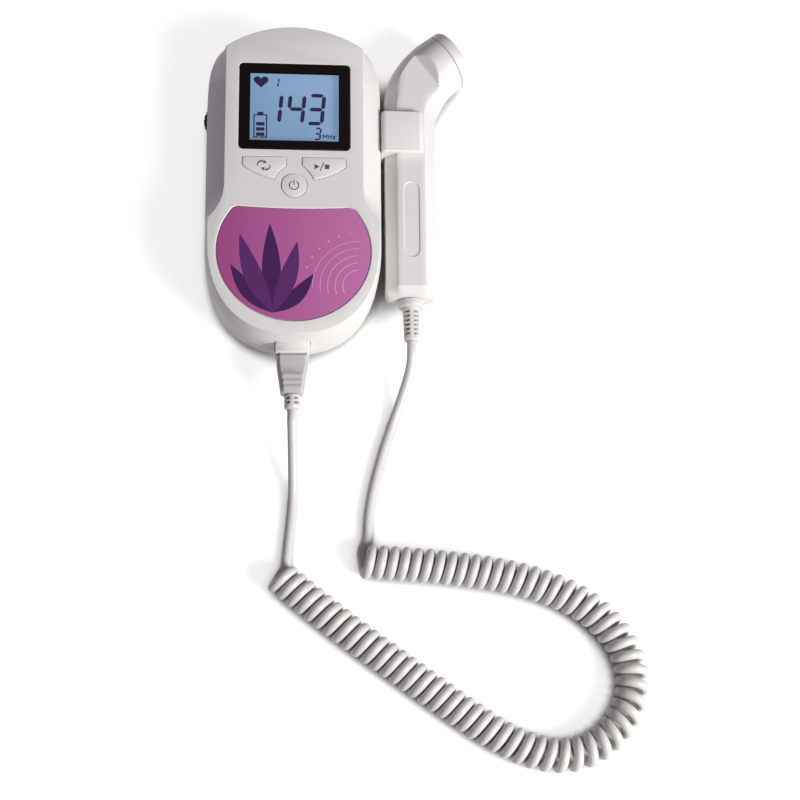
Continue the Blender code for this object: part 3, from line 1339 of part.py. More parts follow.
def make_cord(plug_end, probe_end):
    """The cord in one coil and two free stretches that meet its leads."""
    wire, turns = coil_points()
    first = level(wire[1] - wire[0])
    last = level(wire[-1] - wire[-2])
    start = wire[0] - first * CORD_LEAD
    end = wire[-1] + last * CORD_LEAD
    coil = [start] + wire + [end]
    tube("cord_coil", coil, CORD_DIAMETER / 2, CURL_SIDES_RESOLUTION, GREY)
    print("curls", turns, "least gap mm", round(least_gap(coil, CURL_POINTS // 2) / MM, 3))
    at_probe = Vector((PROBE_X, probe_end - CORD_GAP, PROBE_HEIGHT))
    at_plug = Vector((0.0, plug_end - CORD_GAP, PORT_HEIGHT))
    stretches = {
        "cord_probe_end": (at_probe, PROBE_CORD_ROUTE, start, first),
        "cord_plug_end": (at_plug, PLUG_CORD_ROUTE, end, -last),
    }
    for name, (origin, route, goal, heading) in stretches.items():
        stop = goal - heading * CORD_GAP
        straight = Vector((0.0, -CORD_DIAMETER, 0.0))
        points = [origin, origin + straight]
        points += [Vector(point) * MM for point in route]
        points += [stop - heading * CORD_DIAMETER * CORD_LEAD_SHARE, stop]
        curve = resample(smooth_curve(points), CORD_SPACING)
        before = stop - heading * CORD_DIAMETER * CORD_LEAD_SHARE
        curve = [origin, origin + straight] + curve[2:-2] + [before, stop]
        tube(name, curve, CORD_DIAMETER / 2, CORD_SIDES_RESOLUTION, GREY)
        length = sum((b - a).length for a, b in zip(curve, curve[1:]))
        print(name, "length mm", round(length / MM, 1))
    length = sum((b - a).length for a, b in zip(coil, coil[1:]))
    print("cord_coil wire length mm", round(length / MM, 1))


make_front_shell()
make_rear_shell()
make_battery_door()
make_batteries()
make_contacts()
make_screws()
make_display()
make_keys()
make_label()
make_board()
make_speaker()
make_jack()
make_wheel()
make_port()
PLUG_END = make_plug()
make_clip()
make_probe_housings()
make_probe_head()
make_probe_board()
PROBE_END = make_probe_relief()[1]
make_cord(PLUG_END, PROBE_END)
for moving in ("probe_front", "probe_rear", "probe_cap", "crystal", "crystal_backing", "probe_board"):
    set_origin(PARTS.objects[moving], (PROBE_X, 0.0, PROBE_HEIGHT))
for moving in ("plug_grip", "plug_connector"):
    set_origin(PARTS.objects[moving], (0.0, PORT_END, PORT_HEIGHT))
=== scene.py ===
"""Looks of the pocket heartbeat monitor: finishes, moulded skins, display, label and curly cord.

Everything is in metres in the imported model's frame: X to the monitor's right, Y along its length
towards the display end and Z out of its face, with the origin at the centre of its flat back.
"""

from __future__ import annotations

import json
import logging
import math
from dataclasses import dataclass
from enum import Enum
from typing import Callable, Iterable, Sequence

import bmesh
import bpy
from mathutils import Matrix, Vector


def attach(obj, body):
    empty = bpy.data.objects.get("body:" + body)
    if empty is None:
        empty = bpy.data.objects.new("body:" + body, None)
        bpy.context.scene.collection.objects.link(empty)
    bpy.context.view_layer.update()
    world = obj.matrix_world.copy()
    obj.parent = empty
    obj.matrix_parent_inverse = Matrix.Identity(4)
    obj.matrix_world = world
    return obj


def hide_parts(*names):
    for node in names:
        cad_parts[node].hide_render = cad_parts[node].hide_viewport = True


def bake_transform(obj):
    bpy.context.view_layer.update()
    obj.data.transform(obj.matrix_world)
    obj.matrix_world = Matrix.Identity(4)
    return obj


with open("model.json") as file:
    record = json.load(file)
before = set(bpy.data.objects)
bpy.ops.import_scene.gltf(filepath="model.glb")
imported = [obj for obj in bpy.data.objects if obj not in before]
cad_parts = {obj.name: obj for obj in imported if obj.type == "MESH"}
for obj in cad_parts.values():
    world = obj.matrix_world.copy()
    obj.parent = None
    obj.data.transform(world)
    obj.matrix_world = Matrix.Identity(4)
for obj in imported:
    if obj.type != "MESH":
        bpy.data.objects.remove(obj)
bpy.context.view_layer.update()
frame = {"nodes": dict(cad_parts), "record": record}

LOG = logging.getLogger("monitor")
MM = 0.001
Point = tuple[float, float]
Ring = list[Vector]


class Body(Enum):
    """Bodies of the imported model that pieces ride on."""

    MONITOR = "monitor"
    DOOR = "battery_door"
    MODE = "mode_key"
    PLAY = "play_key"
    POWER = "power_key"
    WHEEL = "volume_wheel"
    PROBE = "probe"
    PLUG = "plug"


class Operation(Enum):
    """Ways of joining two closed meshes."""

    CUT = "DIFFERENCE"
    JOIN = "UNION"


@dataclass(frozen=True)
class NodeTree:
    """Short calls for building one material's nodes.

    Args:
        material: The material whose nodes are built.
    """

    material: bpy.types.Material

    @property
    def shader(self) -> bpy.types.Node:
        """The material's Principled shader."""
        return self.material.node_tree.nodes["Principled BSDF"]

    def add(self, kind: str, **values: object) -> bpy.types.Node:
        """Add a node.

        Args:
            kind: Blender's name of the node type.
            values: Attributes, or inputs by name with underscores for blanks.

        Returns:
            The new node.
        """
        node = self.material.node_tree.nodes.new(kind)
        for name, value in values.items():
            if hasattr(node, name):
                setattr(node, name, value)
            else:
                node.inputs[name.replace("_", " ")].default_value = value
        return node

    def link(self, source: bpy.types.NodeSocket, target: bpy.types.NodeSocket) -> None:
        """Join two sockets."""
        self.material.node_tree.links.new(source, target)

    def position(self) -> bpy.types.NodeSocket:
        """Position in the object's own space, which is the frame's at rest."""
        return self.add("ShaderNodeTexCoord").outputs["Object"]

    def noise(self, scale: float, detail: float = 2.0, roughness: float = 0.5) -> bpy.types.NodeSocket:
        """Noise value at a scale in cycles per metre."""
        node = self.add("ShaderNodeTexNoise", Scale=scale, Detail=detail, Roughness=roughness)
        self.link(self.position(), node.inputs["Vector"])
        return node.outputs[0]

    def spread(self, value: bpy.types.NodeSocket, low: float, high: float) -> bpy.types.NodeSocket:
        """Map 0.25 to 0.75 of a value to low to high."""
        node = self.add("ShaderNodeMapRange", From_Min=0.25, From_Max=0.75, To_Min=low, To_Max=high)
        self.link(value, node.inputs["Value"])
        return node.outputs["Result"]

    def bump(self, height: bpy.types.NodeSocket, distance: float, strength: float = 1.0) -> None:
        """Feed a height into the shader's normal."""
        node = self.add("ShaderNodeBump", Distance=distance, Strength=strength)
        self.link(height, node.inputs["Height"])
        self.link(node.outputs["Normal"], self.shader.inputs["Normal"])

    def two_tone(self, value: bpy.types.NodeSocket, first: Sequence[float], second: Sequence[float]) -> None:
        """Feed a mix of two colours into the shader's base colour."""
        node = self.add("ShaderNodeMix", data_type="RGBA")
        self.link(value, node.inputs["Factor"])
        node.inputs["A"].default_value = (*first, 1.0)
        node.inputs["B"].default_value = (*second, 1.0)
        self.link(node.outputs["Result"], self.shader.inputs["Base Color"])


def new_material(name: str, colour: Sequence[float], roughness: float, metallic: float = 0.0) -> NodeTree:
    """Make a material with constant values on its Principled shader.

    Args:
        name: Name of the finish.
        colour: Base colour, linear.
        roughness: Roughness.
        metallic: 1 on bare metal.

    Returns:
        The material's node tree helper.
    """
    material = bpy.data.materials.new(name)
    material.use_nodes = True
    tree = NodeTree(material)
    tree.shader.inputs["Base Color"].default_value = (*colour, 1.0)
    tree.shader.inputs["Roughness"].default_value = roughness
    tree.shader.inputs["Metallic"].default_value = metallic
    material.diffuse_color = (*colour, 1.0)
    return tree


@dataclass(frozen=True)
class MouldedPlastic:
    """Moulded plastic with a fine spark-eroded grain and slight colour drift.

    Args:
        name: Name of the finish.
        colour: Mean base colour, linear.
        roughness: Mean roughness.
        grain: Size of the grain in metres.
        depth: Depth of the grain in metres.
        drift: Share by which the colour drifts over the moulding.
    """

    name: str
    colour: tuple[float, float, float]
    roughness: float = 0.42
    grain: float = 0.35 * MM
    depth: float = 0.012 * MM
    drift: float = 0.02

    def build(self) -> bpy.types.Material:
        """Build the material."""
        tree = new_material(self.name, self.colour, self.roughness)
        lighter = [min(c * (1 + self.drift), 1.0) for c in self.colour]
        darker = [c * (1 - self.drift) for c in self.colour]
        tree.two_tone(tree.noise(1 / (40 * MM), 3.0), darker, lighter)
        rough = tree.spread(tree.noise(1 / (6 * MM), 3.0), self.roughness - 0.04, self.roughness + 0.04)
        tree.link(rough, tree.shader.inputs["Roughness"])
        tree.bump(tree.noise(1 / self.grain, 2.0), self.depth)
        return tree.material


@dataclass(frozen=True)
class SoftJacket:
    """Extruded soft jacket of a cord, with faint lengthwise sheen and handling marks.

    Args:
        name: Name of the finish.
        colour: Mean base colour, linear.
        roughness: Mean roughness.
    """

    name: str
    colour: tuple[float, float, float]
    roughness: float = 0.38

    def build(self) -> bpy.types.Material:
        """Build the material."""
        tree = new_material(self.name, self.colour, self.roughness)
        darker = [c * 0.96 for c in self.colour]
        tree.two_tone(tree.noise(1 / (15 * MM), 4.0), darker, self.colour)
        rough = tree.spread(tree.noise(1 / (3 * MM), 3.0), self.roughness - 0.05, self.roughness + 0.06)
        tree.link(rough, tree.shader.inputs["Roughness"])
        tree.bump(tree.noise(1 / (0.5 * MM), 2.0), 0.008 * MM)
        tree.shader.inputs["Subsurface Weight"].default_value = 0.4
        tree.shader.inputs["Subsurface Radius"].default_value = (1.0, 0.95, 0.9)
        tree.shader.inputs["Subsurface Scale"].default_value = 1.6 * MM
        return tree.material


@dataclass(frozen=True)
class BareMetal:
    """Plated or rolled metal with fine scratches.

    Args:
        name: Name of the finish.
        colour: Base colour, linear.
        roughness: Mean roughness.
    """

    name: str
    colour: tuple[float, float, float]
    roughness: float = 0.32

    def build(self) -> bpy.types.Material:
        """Build the material."""
        tree = new_material(self.name, self.colour, self.roughness, 1.0)
        rough = tree.spread(tree.noise(1 / (0.8 * MM), 4.0), self.roughness - 0.08, self.roughness + 0.1)
        tree.link(rough, tree.shader.inputs["Roughness"])
        tree.bump(tree.noise(1 / (0.25 * MM), 3.0), 0.004 * MM)
        return tree.material


@dataclass(frozen=True)
class LabelFilm:
    """Satin label film whose magenta turns to a lighter pink towards the right.

    Args:
        left: Colour at the left end, linear.
        right: Colour at the right end, linear.
    """

    left: tuple[float, float, float] = (0.360, 0.070, 0.240)
    right: tuple[float, float, float] = (0.560, 0.180, 0.420)

    def build(self) -> bpy.types.Material:
        """Build the material."""
        tree = new_material("label_film", self.left, 0.36)
        axes = tree.add("ShaderNodeSeparateXYZ")
        tree.link(tree.position(), axes.inputs[0])
        share = tree.add("ShaderNodeMapRange", From_Min=-30 * MM, From_Max=30 * MM)
        tree.link(axes.outputs["X"], share.inputs["Value"])
        grain = tree.spread(tree.noise(1 / (0.5 * MM), 2.0), -0.05, 0.05)
        total = tree.add("ShaderNodeMath", operation="ADD")
        tree.link(share.outputs["Result"], total.inputs[0])
        tree.link(grain, total.inputs[1])
        tree.two_tone(total.outputs[0], self.left, self.right)
        tree.bump(tree.noise(1 / (0.3 * MM), 2.0), 0.006 * MM)
        return tree.material


@dataclass(frozen=True)
class LitPanel:
    """Backlit liquid-crystal panel, lighter at its lower left.

    Args:
        near: Colour at the lower left, linear.
        far: Colour at the upper right, linear.
        glow: Share of its light that it gives itself.
    """

    near: tuple[float, float, float] = (0.195, 0.337, 0.521)
    far: tuple[float, float, float] = (0.285, 0.445, 0.680)
    glow: float = 0.70

    def build(self) -> bpy.types.Material:
        """Build the material."""
        tree = new_material("lit_panel", self.near, 0.3)
        axes = tree.add("ShaderNodeSeparateXYZ")
        tree.link(tree.position(), axes.inputs[0])
        total = tree.add("ShaderNodeMath", operation="ADD")
        tree.link(axes.outputs["X"], total.inputs[0])
        tree.link(axes.outputs["Y"], total.inputs[1])
        share = tree.add("ShaderNodeMapRange", From_Min=0.0, From_Max=60 * MM)
        tree.link(total.outputs[0], share.inputs["Value"])
        cloud = tree.spread(tree.noise(1 / (18 * MM), 1.0), -0.12, 0.12)
        mixed = tree.add("ShaderNodeMath", operation="ADD")
        tree.link(share.outputs["Result"], mixed.inputs[0])
        tree.link(cloud, mixed.inputs[1])
        tree.two_tone(mixed.outputs[0], self.near, self.far)
        colour = tree.shader.inputs["Base Color"].links[0].from_socket
        tree.link(colour, tree.shader.inputs["Emission Color"])
        dim = [[0.4 * part for part in tone] for tone in (self.near, self.far)]
        tree.two_tone(mixed.outputs[0], dim[0], dim[1])
        tree.shader.inputs["Emission Strength"].default_value = self.glow
        tree.shader.inputs["Specular IOR Level"].default_value = 0.2
        return tree.material


@dataclass(frozen=True)
class PrintedWindow:
    """Clear window plate with a black border printed round its view.

    Args:
        view: Left, right, lower and upper edge of the clear view, in metres.
    """

    view: tuple[float, float, float, float] = (-18.0 * MM, 18.0 * MM, 16.5 * MM, 46.5 * MM)

    def build(self) -> bpy.types.Material:
        """Build the material."""
        tree = new_material("printed_window", (0.0075, 0.0044, 0.0040), 0.12)
        tree.shader.inputs["Specular IOR Level"].default_value = 0.16
        axes = tree.add("ShaderNodeSeparateXYZ")
        tree.link(tree.position(), axes.inputs[0])
        inside = None
        tests = (("X", "GREATER_THAN", self.view[0]), ("X", "LESS_THAN", self.view[1]),
                 ("Y", "GREATER_THAN", self.view[2]), ("Y", "LESS_THAN", self.view[3]))
        for axis, operation, edge in tests:
            test = tree.add("ShaderNodeMath", operation=operation)
            tree.link(axes.outputs[axis], test.inputs[0])
            test.inputs[1].default_value = edge
            if inside is None:
                inside = test.outputs[0]
                continue
            both = tree.add("ShaderNodeMath", operation="MULTIPLY")
            tree.link(inside, both.inputs[0])
            tree.link(test.outputs[0], both.inputs[1])
            inside = both.outputs[0]
        cover = tree.add("ShaderNodeMapRange", To_Min=1.0, To_Max=0.05)
        tree.link(inside, cover.inputs["Value"])
        tree.link(cover.outputs["Result"], tree.shader.inputs["Alpha"])
        tree.bump(tree.noise(1 / (4 * MM), 1.0), 0.003 * MM)
        return tree.material


class Finishes:
    """The finishes of the object, each built once."""

    def __init__(self) -> None:
        """Build every finish."""
        self.white = MouldedPlastic("white_moulding", (0.76, 0.755, 0.715)).build()
        self.probe_white = MouldedPlastic("probe_moulding", (0.765, 0.758, 0.725), roughness=0.36).build()
        self.jacket = SoftJacket("cord_jacket", (0.665, 0.66, 0.625)).build()
        self.grip = MouldedPlastic("plug_moulding", (0.51, 0.50, 0.475), roughness=0.45).build()
        self.black = MouldedPlastic("black_moulding", (0.012, 0.011, 0.012), roughness=0.3, drift=0.1).build()
        self.steel = BareMetal("plated_steel", (0.62, 0.62, 0.60)).build()
        self.segment = MouldedPlastic("segment_ink", (0.030, 0.026, 0.085), roughness=0.5, drift=0.05).build()
        self.print_grey = MouldedPlastic("symbol_ink", (0.115, 0.098, 0.095), roughness=0.5, drift=0.05).build()
        self.label_dark = MouldedPlastic("leaf_ink", (0.058, 0.010, 0.092), roughness=0.45, drift=0.05).build()
        self.label_mid = MouldedPlastic("pale_leaf_ink", (0.105, 0.020, 0.140), roughness=0.45, drift=0.05).build()
        # Painted shade: a near-black finish for the rod that stands for the shade deep in the strain reliefs' slots.
        self.slot_shade = MouldedPlastic("slot_core", (0.040, 0.036, 0.032), roughness=0.6).build()
        self.label_light = MouldedPlastic("wave_ink", (0.62, 0.36, 0.56), roughness=0.45, drift=0.03).build()
        self.label = LabelFilm().build()
        self.board = MouldedPlastic("solder_mask", (0.020, 0.150, 0.070), roughness=0.35, drift=0.12).build()
        self.cell = MouldedPlastic("cell_jacket", (0.075, 0.085, 0.110), roughness=0.28, drift=0.1).build()
        self.ceramic = MouldedPlastic("fired_ceramic", (0.66, 0.60, 0.47), roughness=0.5, drift=0.08).build()
        self.backlight = LitPanel().build()
        self.window = PrintedWindow().build()


@dataclass
class Viewpoint:
    """Camera at the photograph's viewing angle, solved from the face's outlines."""

    place: tuple[float, float, float] = (-12.49 * MM, -282.86 * MM, 693.35 * MM)
    right: tuple[float, float, float] = (0.9969, -0.0105, 0.0785)
    up: tuple[float, float, float] = (-0.0116, 0.9612, 0.2756)
    forward: tuple[float, float, float] = (0.0783, 0.2756, -0.9581)
    lens_mm: float = 80.0
    sensor_mm: float = 36.0

    def build(self) -> bpy.types.Object:
        """Make the camera and give it to the scene.

        Returns:
            The camera.
        """
        data = bpy.data.cameras.new("photo_camera")
        data.lens = self.lens_mm
        data.sensor_width = self.sensor_mm
        data.clip_start, data.clip_end = 10 * MM, 10.0
        camera = bpy.data.objects.new("photo_camera", data)
        back = [-value for value in self.forward]
        turn = Matrix((self.right, self.up, back)).transposed().to_4x4()
        camera.matrix_world = Matrix.Translation(self.place) @ turn
        bpy.context.scene.collection.objects.link(camera)
        bpy.context.scene.camera = camera
        return camera


@dataclass
class Studio:
    """Pale floor, a broad key light from the right and an even surround."""

    floor_size: float = 6.0
    surround: float = 0.18
    surround_tint: tuple[float, float, float] = (1.05, 0.88, 1.12)
    floor_glow: float = 0.80
    key_strength: float = 1.19
    key_azimuth: float = -36.0
    key_elevation: float = 36.0
    key_distance: float = 1.6
    key_size: float = 0.7

    def floor(self) -> bpy.types.Object:
        """Make the floor, which shows white to the camera, keeps the object's shadow and has painted shade near the
        object.

        Returns:
            The floor.
        """
        data = bmesh.new()
        bmesh.ops.create_grid(data, x_segments=1, y_segments=1, size=self.floor_size / 2)
        mesh = bpy.data.meshes.new("studio_floor")
        data.to_mesh(mesh)
        data.free()
        floor = bpy.data.objects.new("studio_floor", mesh)
        floor.location = (0.0, 0.0, -0.05 * MM)
        bpy.context.scene.collection.objects.link(floor)
        tree = new_material("studio_paper", (0.45, 0.45, 0.45), 0.9)
        tree.shader.inputs["Specular IOR Level"].default_value = 0.0
        rays = tree.add("ShaderNodeLightPath")
        seen = tree.add("ShaderNodeMath", operation="MAXIMUM")
        tree.link(rays.outputs["Is Camera Ray"], seen.inputs[0])
        tree.link(rays.outputs["Is Glossy Ray"], seen.inputs[1])
        glow = tree.add("ShaderNodeMath", operation="MULTIPLY")
        tree.link(seen.outputs[0], glow.inputs[0])
        # Painted shade: ambient occlusion fades the floor's white glow near the object, painting a dark halo round it
        # and dark crevices between parts.
        shelter = tree.add("ShaderNodeAmbientOcclusion", samples=16, Distance=16 * MM)
        level = tree.add("ShaderNodeMapRange", From_Min=0.38, From_Max=0.58, To_Max=self.floor_glow)
        tree.link(shelter.outputs["AO"], level.inputs["Value"])
        contact = tree.add("ShaderNodeAmbientOcclusion", samples=8, Distance=5 * MM)
        painted_halo_shade = tree.add("ShaderNodeMapRange", From_Min=0.5, From_Max=0.95, To_Min=0.55)
        tree.link(contact.outputs["AO"], painted_halo_shade.inputs["Value"])
        glow_after_painted_shade = tree.add("ShaderNodeMath", operation="MULTIPLY")
        tree.link(level.outputs["Result"], glow_after_painted_shade.inputs[0])
        tree.link(painted_halo_shade.outputs["Result"], glow_after_painted_shade.inputs[1])
        tree.link(glow_after_painted_shade.outputs[0], glow.inputs[1])
        tree.shader.inputs["Emission Color"].default_value = (1.0, 1.0, 1.0, 1.0)
        tree.link(glow.outputs[0], tree.shader.inputs["Emission Strength"])
        mesh.materials.append(tree.material)
        return floor

    def world(self) -> None:
        """Make the even surround, white where the camera or a transmission ray sees it."""
        world = bpy.data.worlds.new("studio_surround")
        world.use_nodes = True
        bpy.context.scene.world = world
        nodes, links = world.node_tree.nodes, world.node_tree.links
        background = nodes["Background"]
        rays = nodes.new("ShaderNodeLightPath")
        tone = nodes.new("ShaderNodeMix")
        tone.data_type = "RGBA"
        tone.inputs["A"].default_value = (*self.surround_tint, 1.0)
        tone.inputs["B"].default_value = (1.0, 1.0, 1.0, 1.0)
        seen = nodes.new("ShaderNodeMath")
        seen.operation = "MAXIMUM"
        links.new(rays.outputs["Is Camera Ray"], seen.inputs[0])
        links.new(rays.outputs["Is Transmission Ray"], seen.inputs[1])
        level = nodes.new("ShaderNodeMapRange")
        level.inputs["To Min"].default_value = self.surround
        level.inputs["To Max"].default_value = 1.0
        links.new(seen.outputs[0], level.inputs["Value"])
        links.new(level.outputs["Result"], background.inputs["Strength"])
        links.new(seen.outputs[0], tone.inputs["Factor"])
        links.new(tone.outputs["Result"], background.inputs["Color"])

    def key(self) -> bpy.types.Object:
        """Make the key light.

        Returns:
            The area light.
        """
        azimuth, elevation = math.radians(self.key_azimuth), math.radians(self.key_elevation)
        level = math.cos(elevation)
        towards = Vector((math.cos(azimuth) * level, math.sin(azimuth) * level, math.sin(elevation)))
        data = bpy.data.lights.new("key_light", "AREA")
        data.shape = "DISK"
        data.size = self.key_size
        data.energy = self.key_strength * math.pi * math.pi * self.key_distance**2
        lamp = bpy.data.objects.new("key_light", data)
        lamp.location = towards * self.key_distance
        lamp.rotation_euler = towards.to_track_quat("Z", "Y").to_euler()
        bpy.context.scene.collection.objects.link(lamp)
        return lamp

    def build(self) -> None:
        """Make the floor, the surround and the key light."""
        self.floor()
        self.world()
        self.key()
        bpy.context.scene.view_settings.view_transform = "Standard"


def smooth_line(points: Sequence[Vector], steps: int = 10) -> list[Vector]:
    """Draw a smooth line through every point.

    Args:
        points: Points on the line.
        steps: Stretches between two points.

    Returns:
        The finer points.
    """
    ends = [points[0] * 2 - points[1], *points, points[-1] * 2 - points[-2]]
    line = []
    for a, b, c, d in zip(ends, ends[1:], ends[2:], ends[3:]):
        for i in range(steps):
            t = i / steps
            cubic = (3 * b - a - 3 * c + d) * t**3
            line.append(0.5 * (2 * b + (c - a) * t + (2 * a - 5 * b + 4 * c - d) * t**2 + cubic))
    line.append(points[-1].copy())
    return line


def spaced(line: Sequence[Vector], spacing: float) -> list[Vector]:
    """Place points evenly along a line, with both its ends kept.

    Args:
        line: Points of the line.
        spacing: Wanted distance between points.

    Returns:
        The even points.
    """
    lengths = [0.0]
    for a, b in zip(line, line[1:]):
        lengths.append(lengths[-1] + (b - a).length)
    count = max(2, round(lengths[-1] / spacing) + 1)
    result, k = [], 0
    for i in range(count):
        goal = lengths[-1] * i / (count - 1)
        while k < len(line) - 2 and lengths[k + 1] < goal:
            k += 1
        span = max(lengths[k + 1] - lengths[k], MM * MM)
        result.append(line[k].lerp(line[k + 1], (goal - lengths[k]) / span))
    return result


def line_length(line: Sequence[Vector]) -> float:
    """Length of a line of points."""
    return sum((b - a).length for a, b in zip(line, line[1:]))


def mesh_piece(name: str, data: bmesh.types.BMesh, finish: bpy.types.Material | None = None) -> bpy.types.Object:
    """Turn a bmesh into an object of the scene.

    Args:
        name: Name of the piece.
        data: The mesh, which is used up.
        finish: Its material.

    Returns:
        The piece.
    """
    bmesh.ops.recalc_face_normals(data, faces=data.faces)
    mesh = bpy.data.meshes.new(name)
    data.to_mesh(mesh)
    data.free()
    piece = bpy.data.objects.new(name, mesh)
    bpy.context.scene.collection.objects.link(piece)
    if finish is not None:
        mesh.materials.append(finish)
    return piece


def shade(piece: bpy.types.Object, degrees: float = 32.0) -> bpy.types.Object:
    """Shade a piece smooth, with edges past an angle kept sharp."""
    piece.data.shade_smooth()
    piece.data.set_sharp_from_angle(angle=math.radians(degrees))
    return piece


def swept_tube(name: str, line: Sequence[Vector], radius: float, sides: int, finish: bpy.types.Material) -> bpy.types.Object:
    """Sweep a round section along a line without twist.

    Args:
        name: Name of the piece.
        line: Points of the centreline.
        radius: Radius of the section.
        sides: Points round the section.
        finish: Its material.

    Returns:
        The closed tube.
    """
    data = bmesh.new()
    heading = (line[1] - line[0]).normalized()
    side = heading.orthogonal().normalized()
    loops = []
    for i, point in enumerate(line):
        ahead, behind = line[min(i + 1, len(line) - 1)], line[max(i - 1, 0)]
        heading = (ahead - behind).normalized()
        side = (side - heading * side.dot(heading)).normalized()
        other = heading.cross(side)
        turns = [2 * math.pi * k / sides for k in range(sides)]
        loops.append([data.verts.new(point + (side * math.cos(t) + other * math.sin(t)) * radius) for t in turns])
    for low, high in zip(loops, loops[1:]):
        for k in range(sides):
            j = (k + 1) % sides
            data.faces.new((low[k], low[j], high[j], high[k]))
    data.faces.new(loops[0][::-1])
    data.faces.new(loops[-1])
    return shade(mesh_piece(name, data, finish), 50.0)


@dataclass
class CurlyCord:
    """The cord from the plug to the probe: two free ends and a left-handed coil between them."""

    diameter: float = 3.9 * MM
    helix_radius: float = 4.95 * MM
    curl_gap: float = 0.56 * MM
    lead: float = 2.4 * MM
    lead_share: float = 0.75
    end_gap: float = 0.3 * MM
    points_per_curl: int = 24
    sides: int = 14
    plug_exit: tuple[float, float, float] = (0.0, -92.9 * MM, 17.0 * MM)
    probe_exit: tuple[float, float, float] = (48.0 * MM, -62.9 * MM, 13.3 * MM)

    COIL_ROUTE = (
        (28.7, -151.5), (54.7, -153.2), (82.3, -156.7), (102.0, -161.8), (117.6, -169.7),
        (128.9, -181.5), (134.0, -194.3), (132.2, -207.4), (123.9, -219.2), (111.0, -226.6),
        (97.9, -226.4), (84.5, -221.7), (69.3, -212.1), (42.5, -193.2), (19.3, -176.5), (-4.6, -157.4),
    )
    PLUG_ROUTE = (
        (0.2, -101.5, 14.6), (0.6, -112.0, 8.2), (0.8, -122.0, 3.6), (0.3, -131.0, 2.15),
        (-0.6, -140.0, 2.05), (-1.3, -146.8, 2.05),
    )
    PROBE_ROUTE = (
        (47.6, -73.0, 10.6), (44.7, -83.0, 5.4), (41.0, -93.5, 2.5), (37.4, -104.0, 2.05),
        (34.0, -116.0, 2.05), (31.8, -126.0, 2.05), (30.7, -134.0, 2.05), (30.3, -141.0, 2.05),
    )
    SMOOTHING = 60
    HEADING_STEPS = 3
    BEND_STEPS = 8

    def coil_axis(self) -> list[Vector]:
        """Smooth axis of the coil, with a point every millimetre."""
        height = self.helix_radius + self.diameter / 2 + self.curl_gap / 4
        axis = smooth_line([Vector((x * MM, y * MM, height)) for x, y in self.COIL_ROUTE], 16)
        axis = spaced(axis, MM)
        for _ in range(self.SMOOTHING):
            middle = [(a + b + c) / 3 for a, b, c in zip(axis, axis[1:], axis[2:])]
            axis = [axis[0], *middle, axis[-1]]
        return axis

    def coil_line(self) -> list[Vector]:
        """Centreline of the coil's curls; build adds the two straight leads.

        Returns:
            The points from the probe's side to the plug's side.
        """
        axis = self.coil_axis()
        last = len(axis) - 1
        headings = []
        for i in range(len(axis)):
            low, high = max(i - self.HEADING_STEPS, 0), min(i + self.HEADING_STEPS, last)
            headings.append((axis[high] - axis[low]).normalized())
        turns = [0.0]
        for i in range(1, len(axis)):
            low, high = max(i - self.BEND_STEPS, 0), min(i + self.BEND_STEPS, last)
            bend = headings[low].angle(headings[high]) / ((high - low) * MM)
            pitch = (self.diameter + self.curl_gap) / (1 - min(bend * self.helix_radius, 0.6))
            turns.append(turns[-1] + (axis[i] - axis[i - 1]).length / pitch)
        whole = round(turns[-1])
        turns = [turn * whole / turns[-1] for turn in turns]
        line, k = [], 0
        for step in range(whole * self.points_per_curl + 1):
            goal = step / self.points_per_curl
            while k < last - 1 and turns[k + 1] < goal:
                k += 1
            share = (goal - turns[k]) / (turns[k + 1] - turns[k])
            centre = axis[k].lerp(axis[k + 1], share)
            heading = headings[k].lerp(headings[k + 1], share).normalized()
            side = Vector((heading.y, -heading.x, 0.0))
            angle = 2 * math.pi * goal
            down = Vector((0.0, 0.0, math.cos(angle) * self.helix_radius))
            line.append(centre + side * math.sin(angle) * self.helix_radius - down)
        return line

    def leads(self, line: list[Vector]) -> tuple[Vector, Vector]:
        """Level headings of the coil's two ends, both along the line."""
        flat = []
        for a, b in ((line[0], line[1]), (line[-2], line[-1])):
            step = b - a
            flat.append(Vector((step.x, step.y, 0.0)).normalized())
        return flat[0], flat[1]

    def free_line(self, start: Sequence[float], route: Iterable[Sequence[float]], goal: Vector, heading: Vector) -> list[Vector]:
        """Centreline of a free end.

        Args:
            start: Where the cord leaves its strain relief, heading to -Y.
            route: Points on the way, in millimetres.
            goal: Where it meets the coil's lead.
            heading: The way it goes there.

        Returns:
            Even points along the free end.
        """
        origin = Vector(start)
        points = [origin, origin + Vector((0.0, -self.diameter, 0.0))]
        points += [Vector(point) * MM for point in route]
        points += [goal - heading * self.diameter * self.lead_share, goal]
        return spaced(smooth_line(points), 1.2 * MM)

    def build(self, finishes: Finishes) -> None:
        """Args:
            finishes: The object's finishes.
        """
        curls = self.coil_line()
        first, last = self.leads(curls)
        start, end = curls[0] - first * self.lead, curls[-1] + last * self.lead
        whole = [start, *curls, end]
        radius = self.diameter / 2
        coil = swept_tube("curly_coil", whole, radius, self.sides, finishes.jacket)
        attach(coil, Body.MONITOR.value)
        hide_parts("cord_coil")
        plug_line = self.free_line(self.plug_exit, self.PLUG_ROUTE, end, -last)
        probe_line = self.free_line(self.probe_exit, self.PROBE_ROUTE, start, first)
        ends = (
            ("cord_to_plug", plug_line, Body.PLUG, "cord_plug_end", ["plug_connector", "plug_moulding", "plug_relief", "plug_relief_core"]),
            ("cord_to_probe", probe_line, Body.PROBE, "cord_probe_end", []),
        )
        for name, line, body, node, carried in ends:
            piece = swept_tube(name, line, radius, self.sides, finishes.jacket)
            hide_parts(node)
            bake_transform(piece)
        LOG.info("cord: coil %.0f mm, ends %.0f and %.0f mm", line_length(whole) / MM,
                 line_length(plug_line) / MM, line_length(probe_line) / MM)


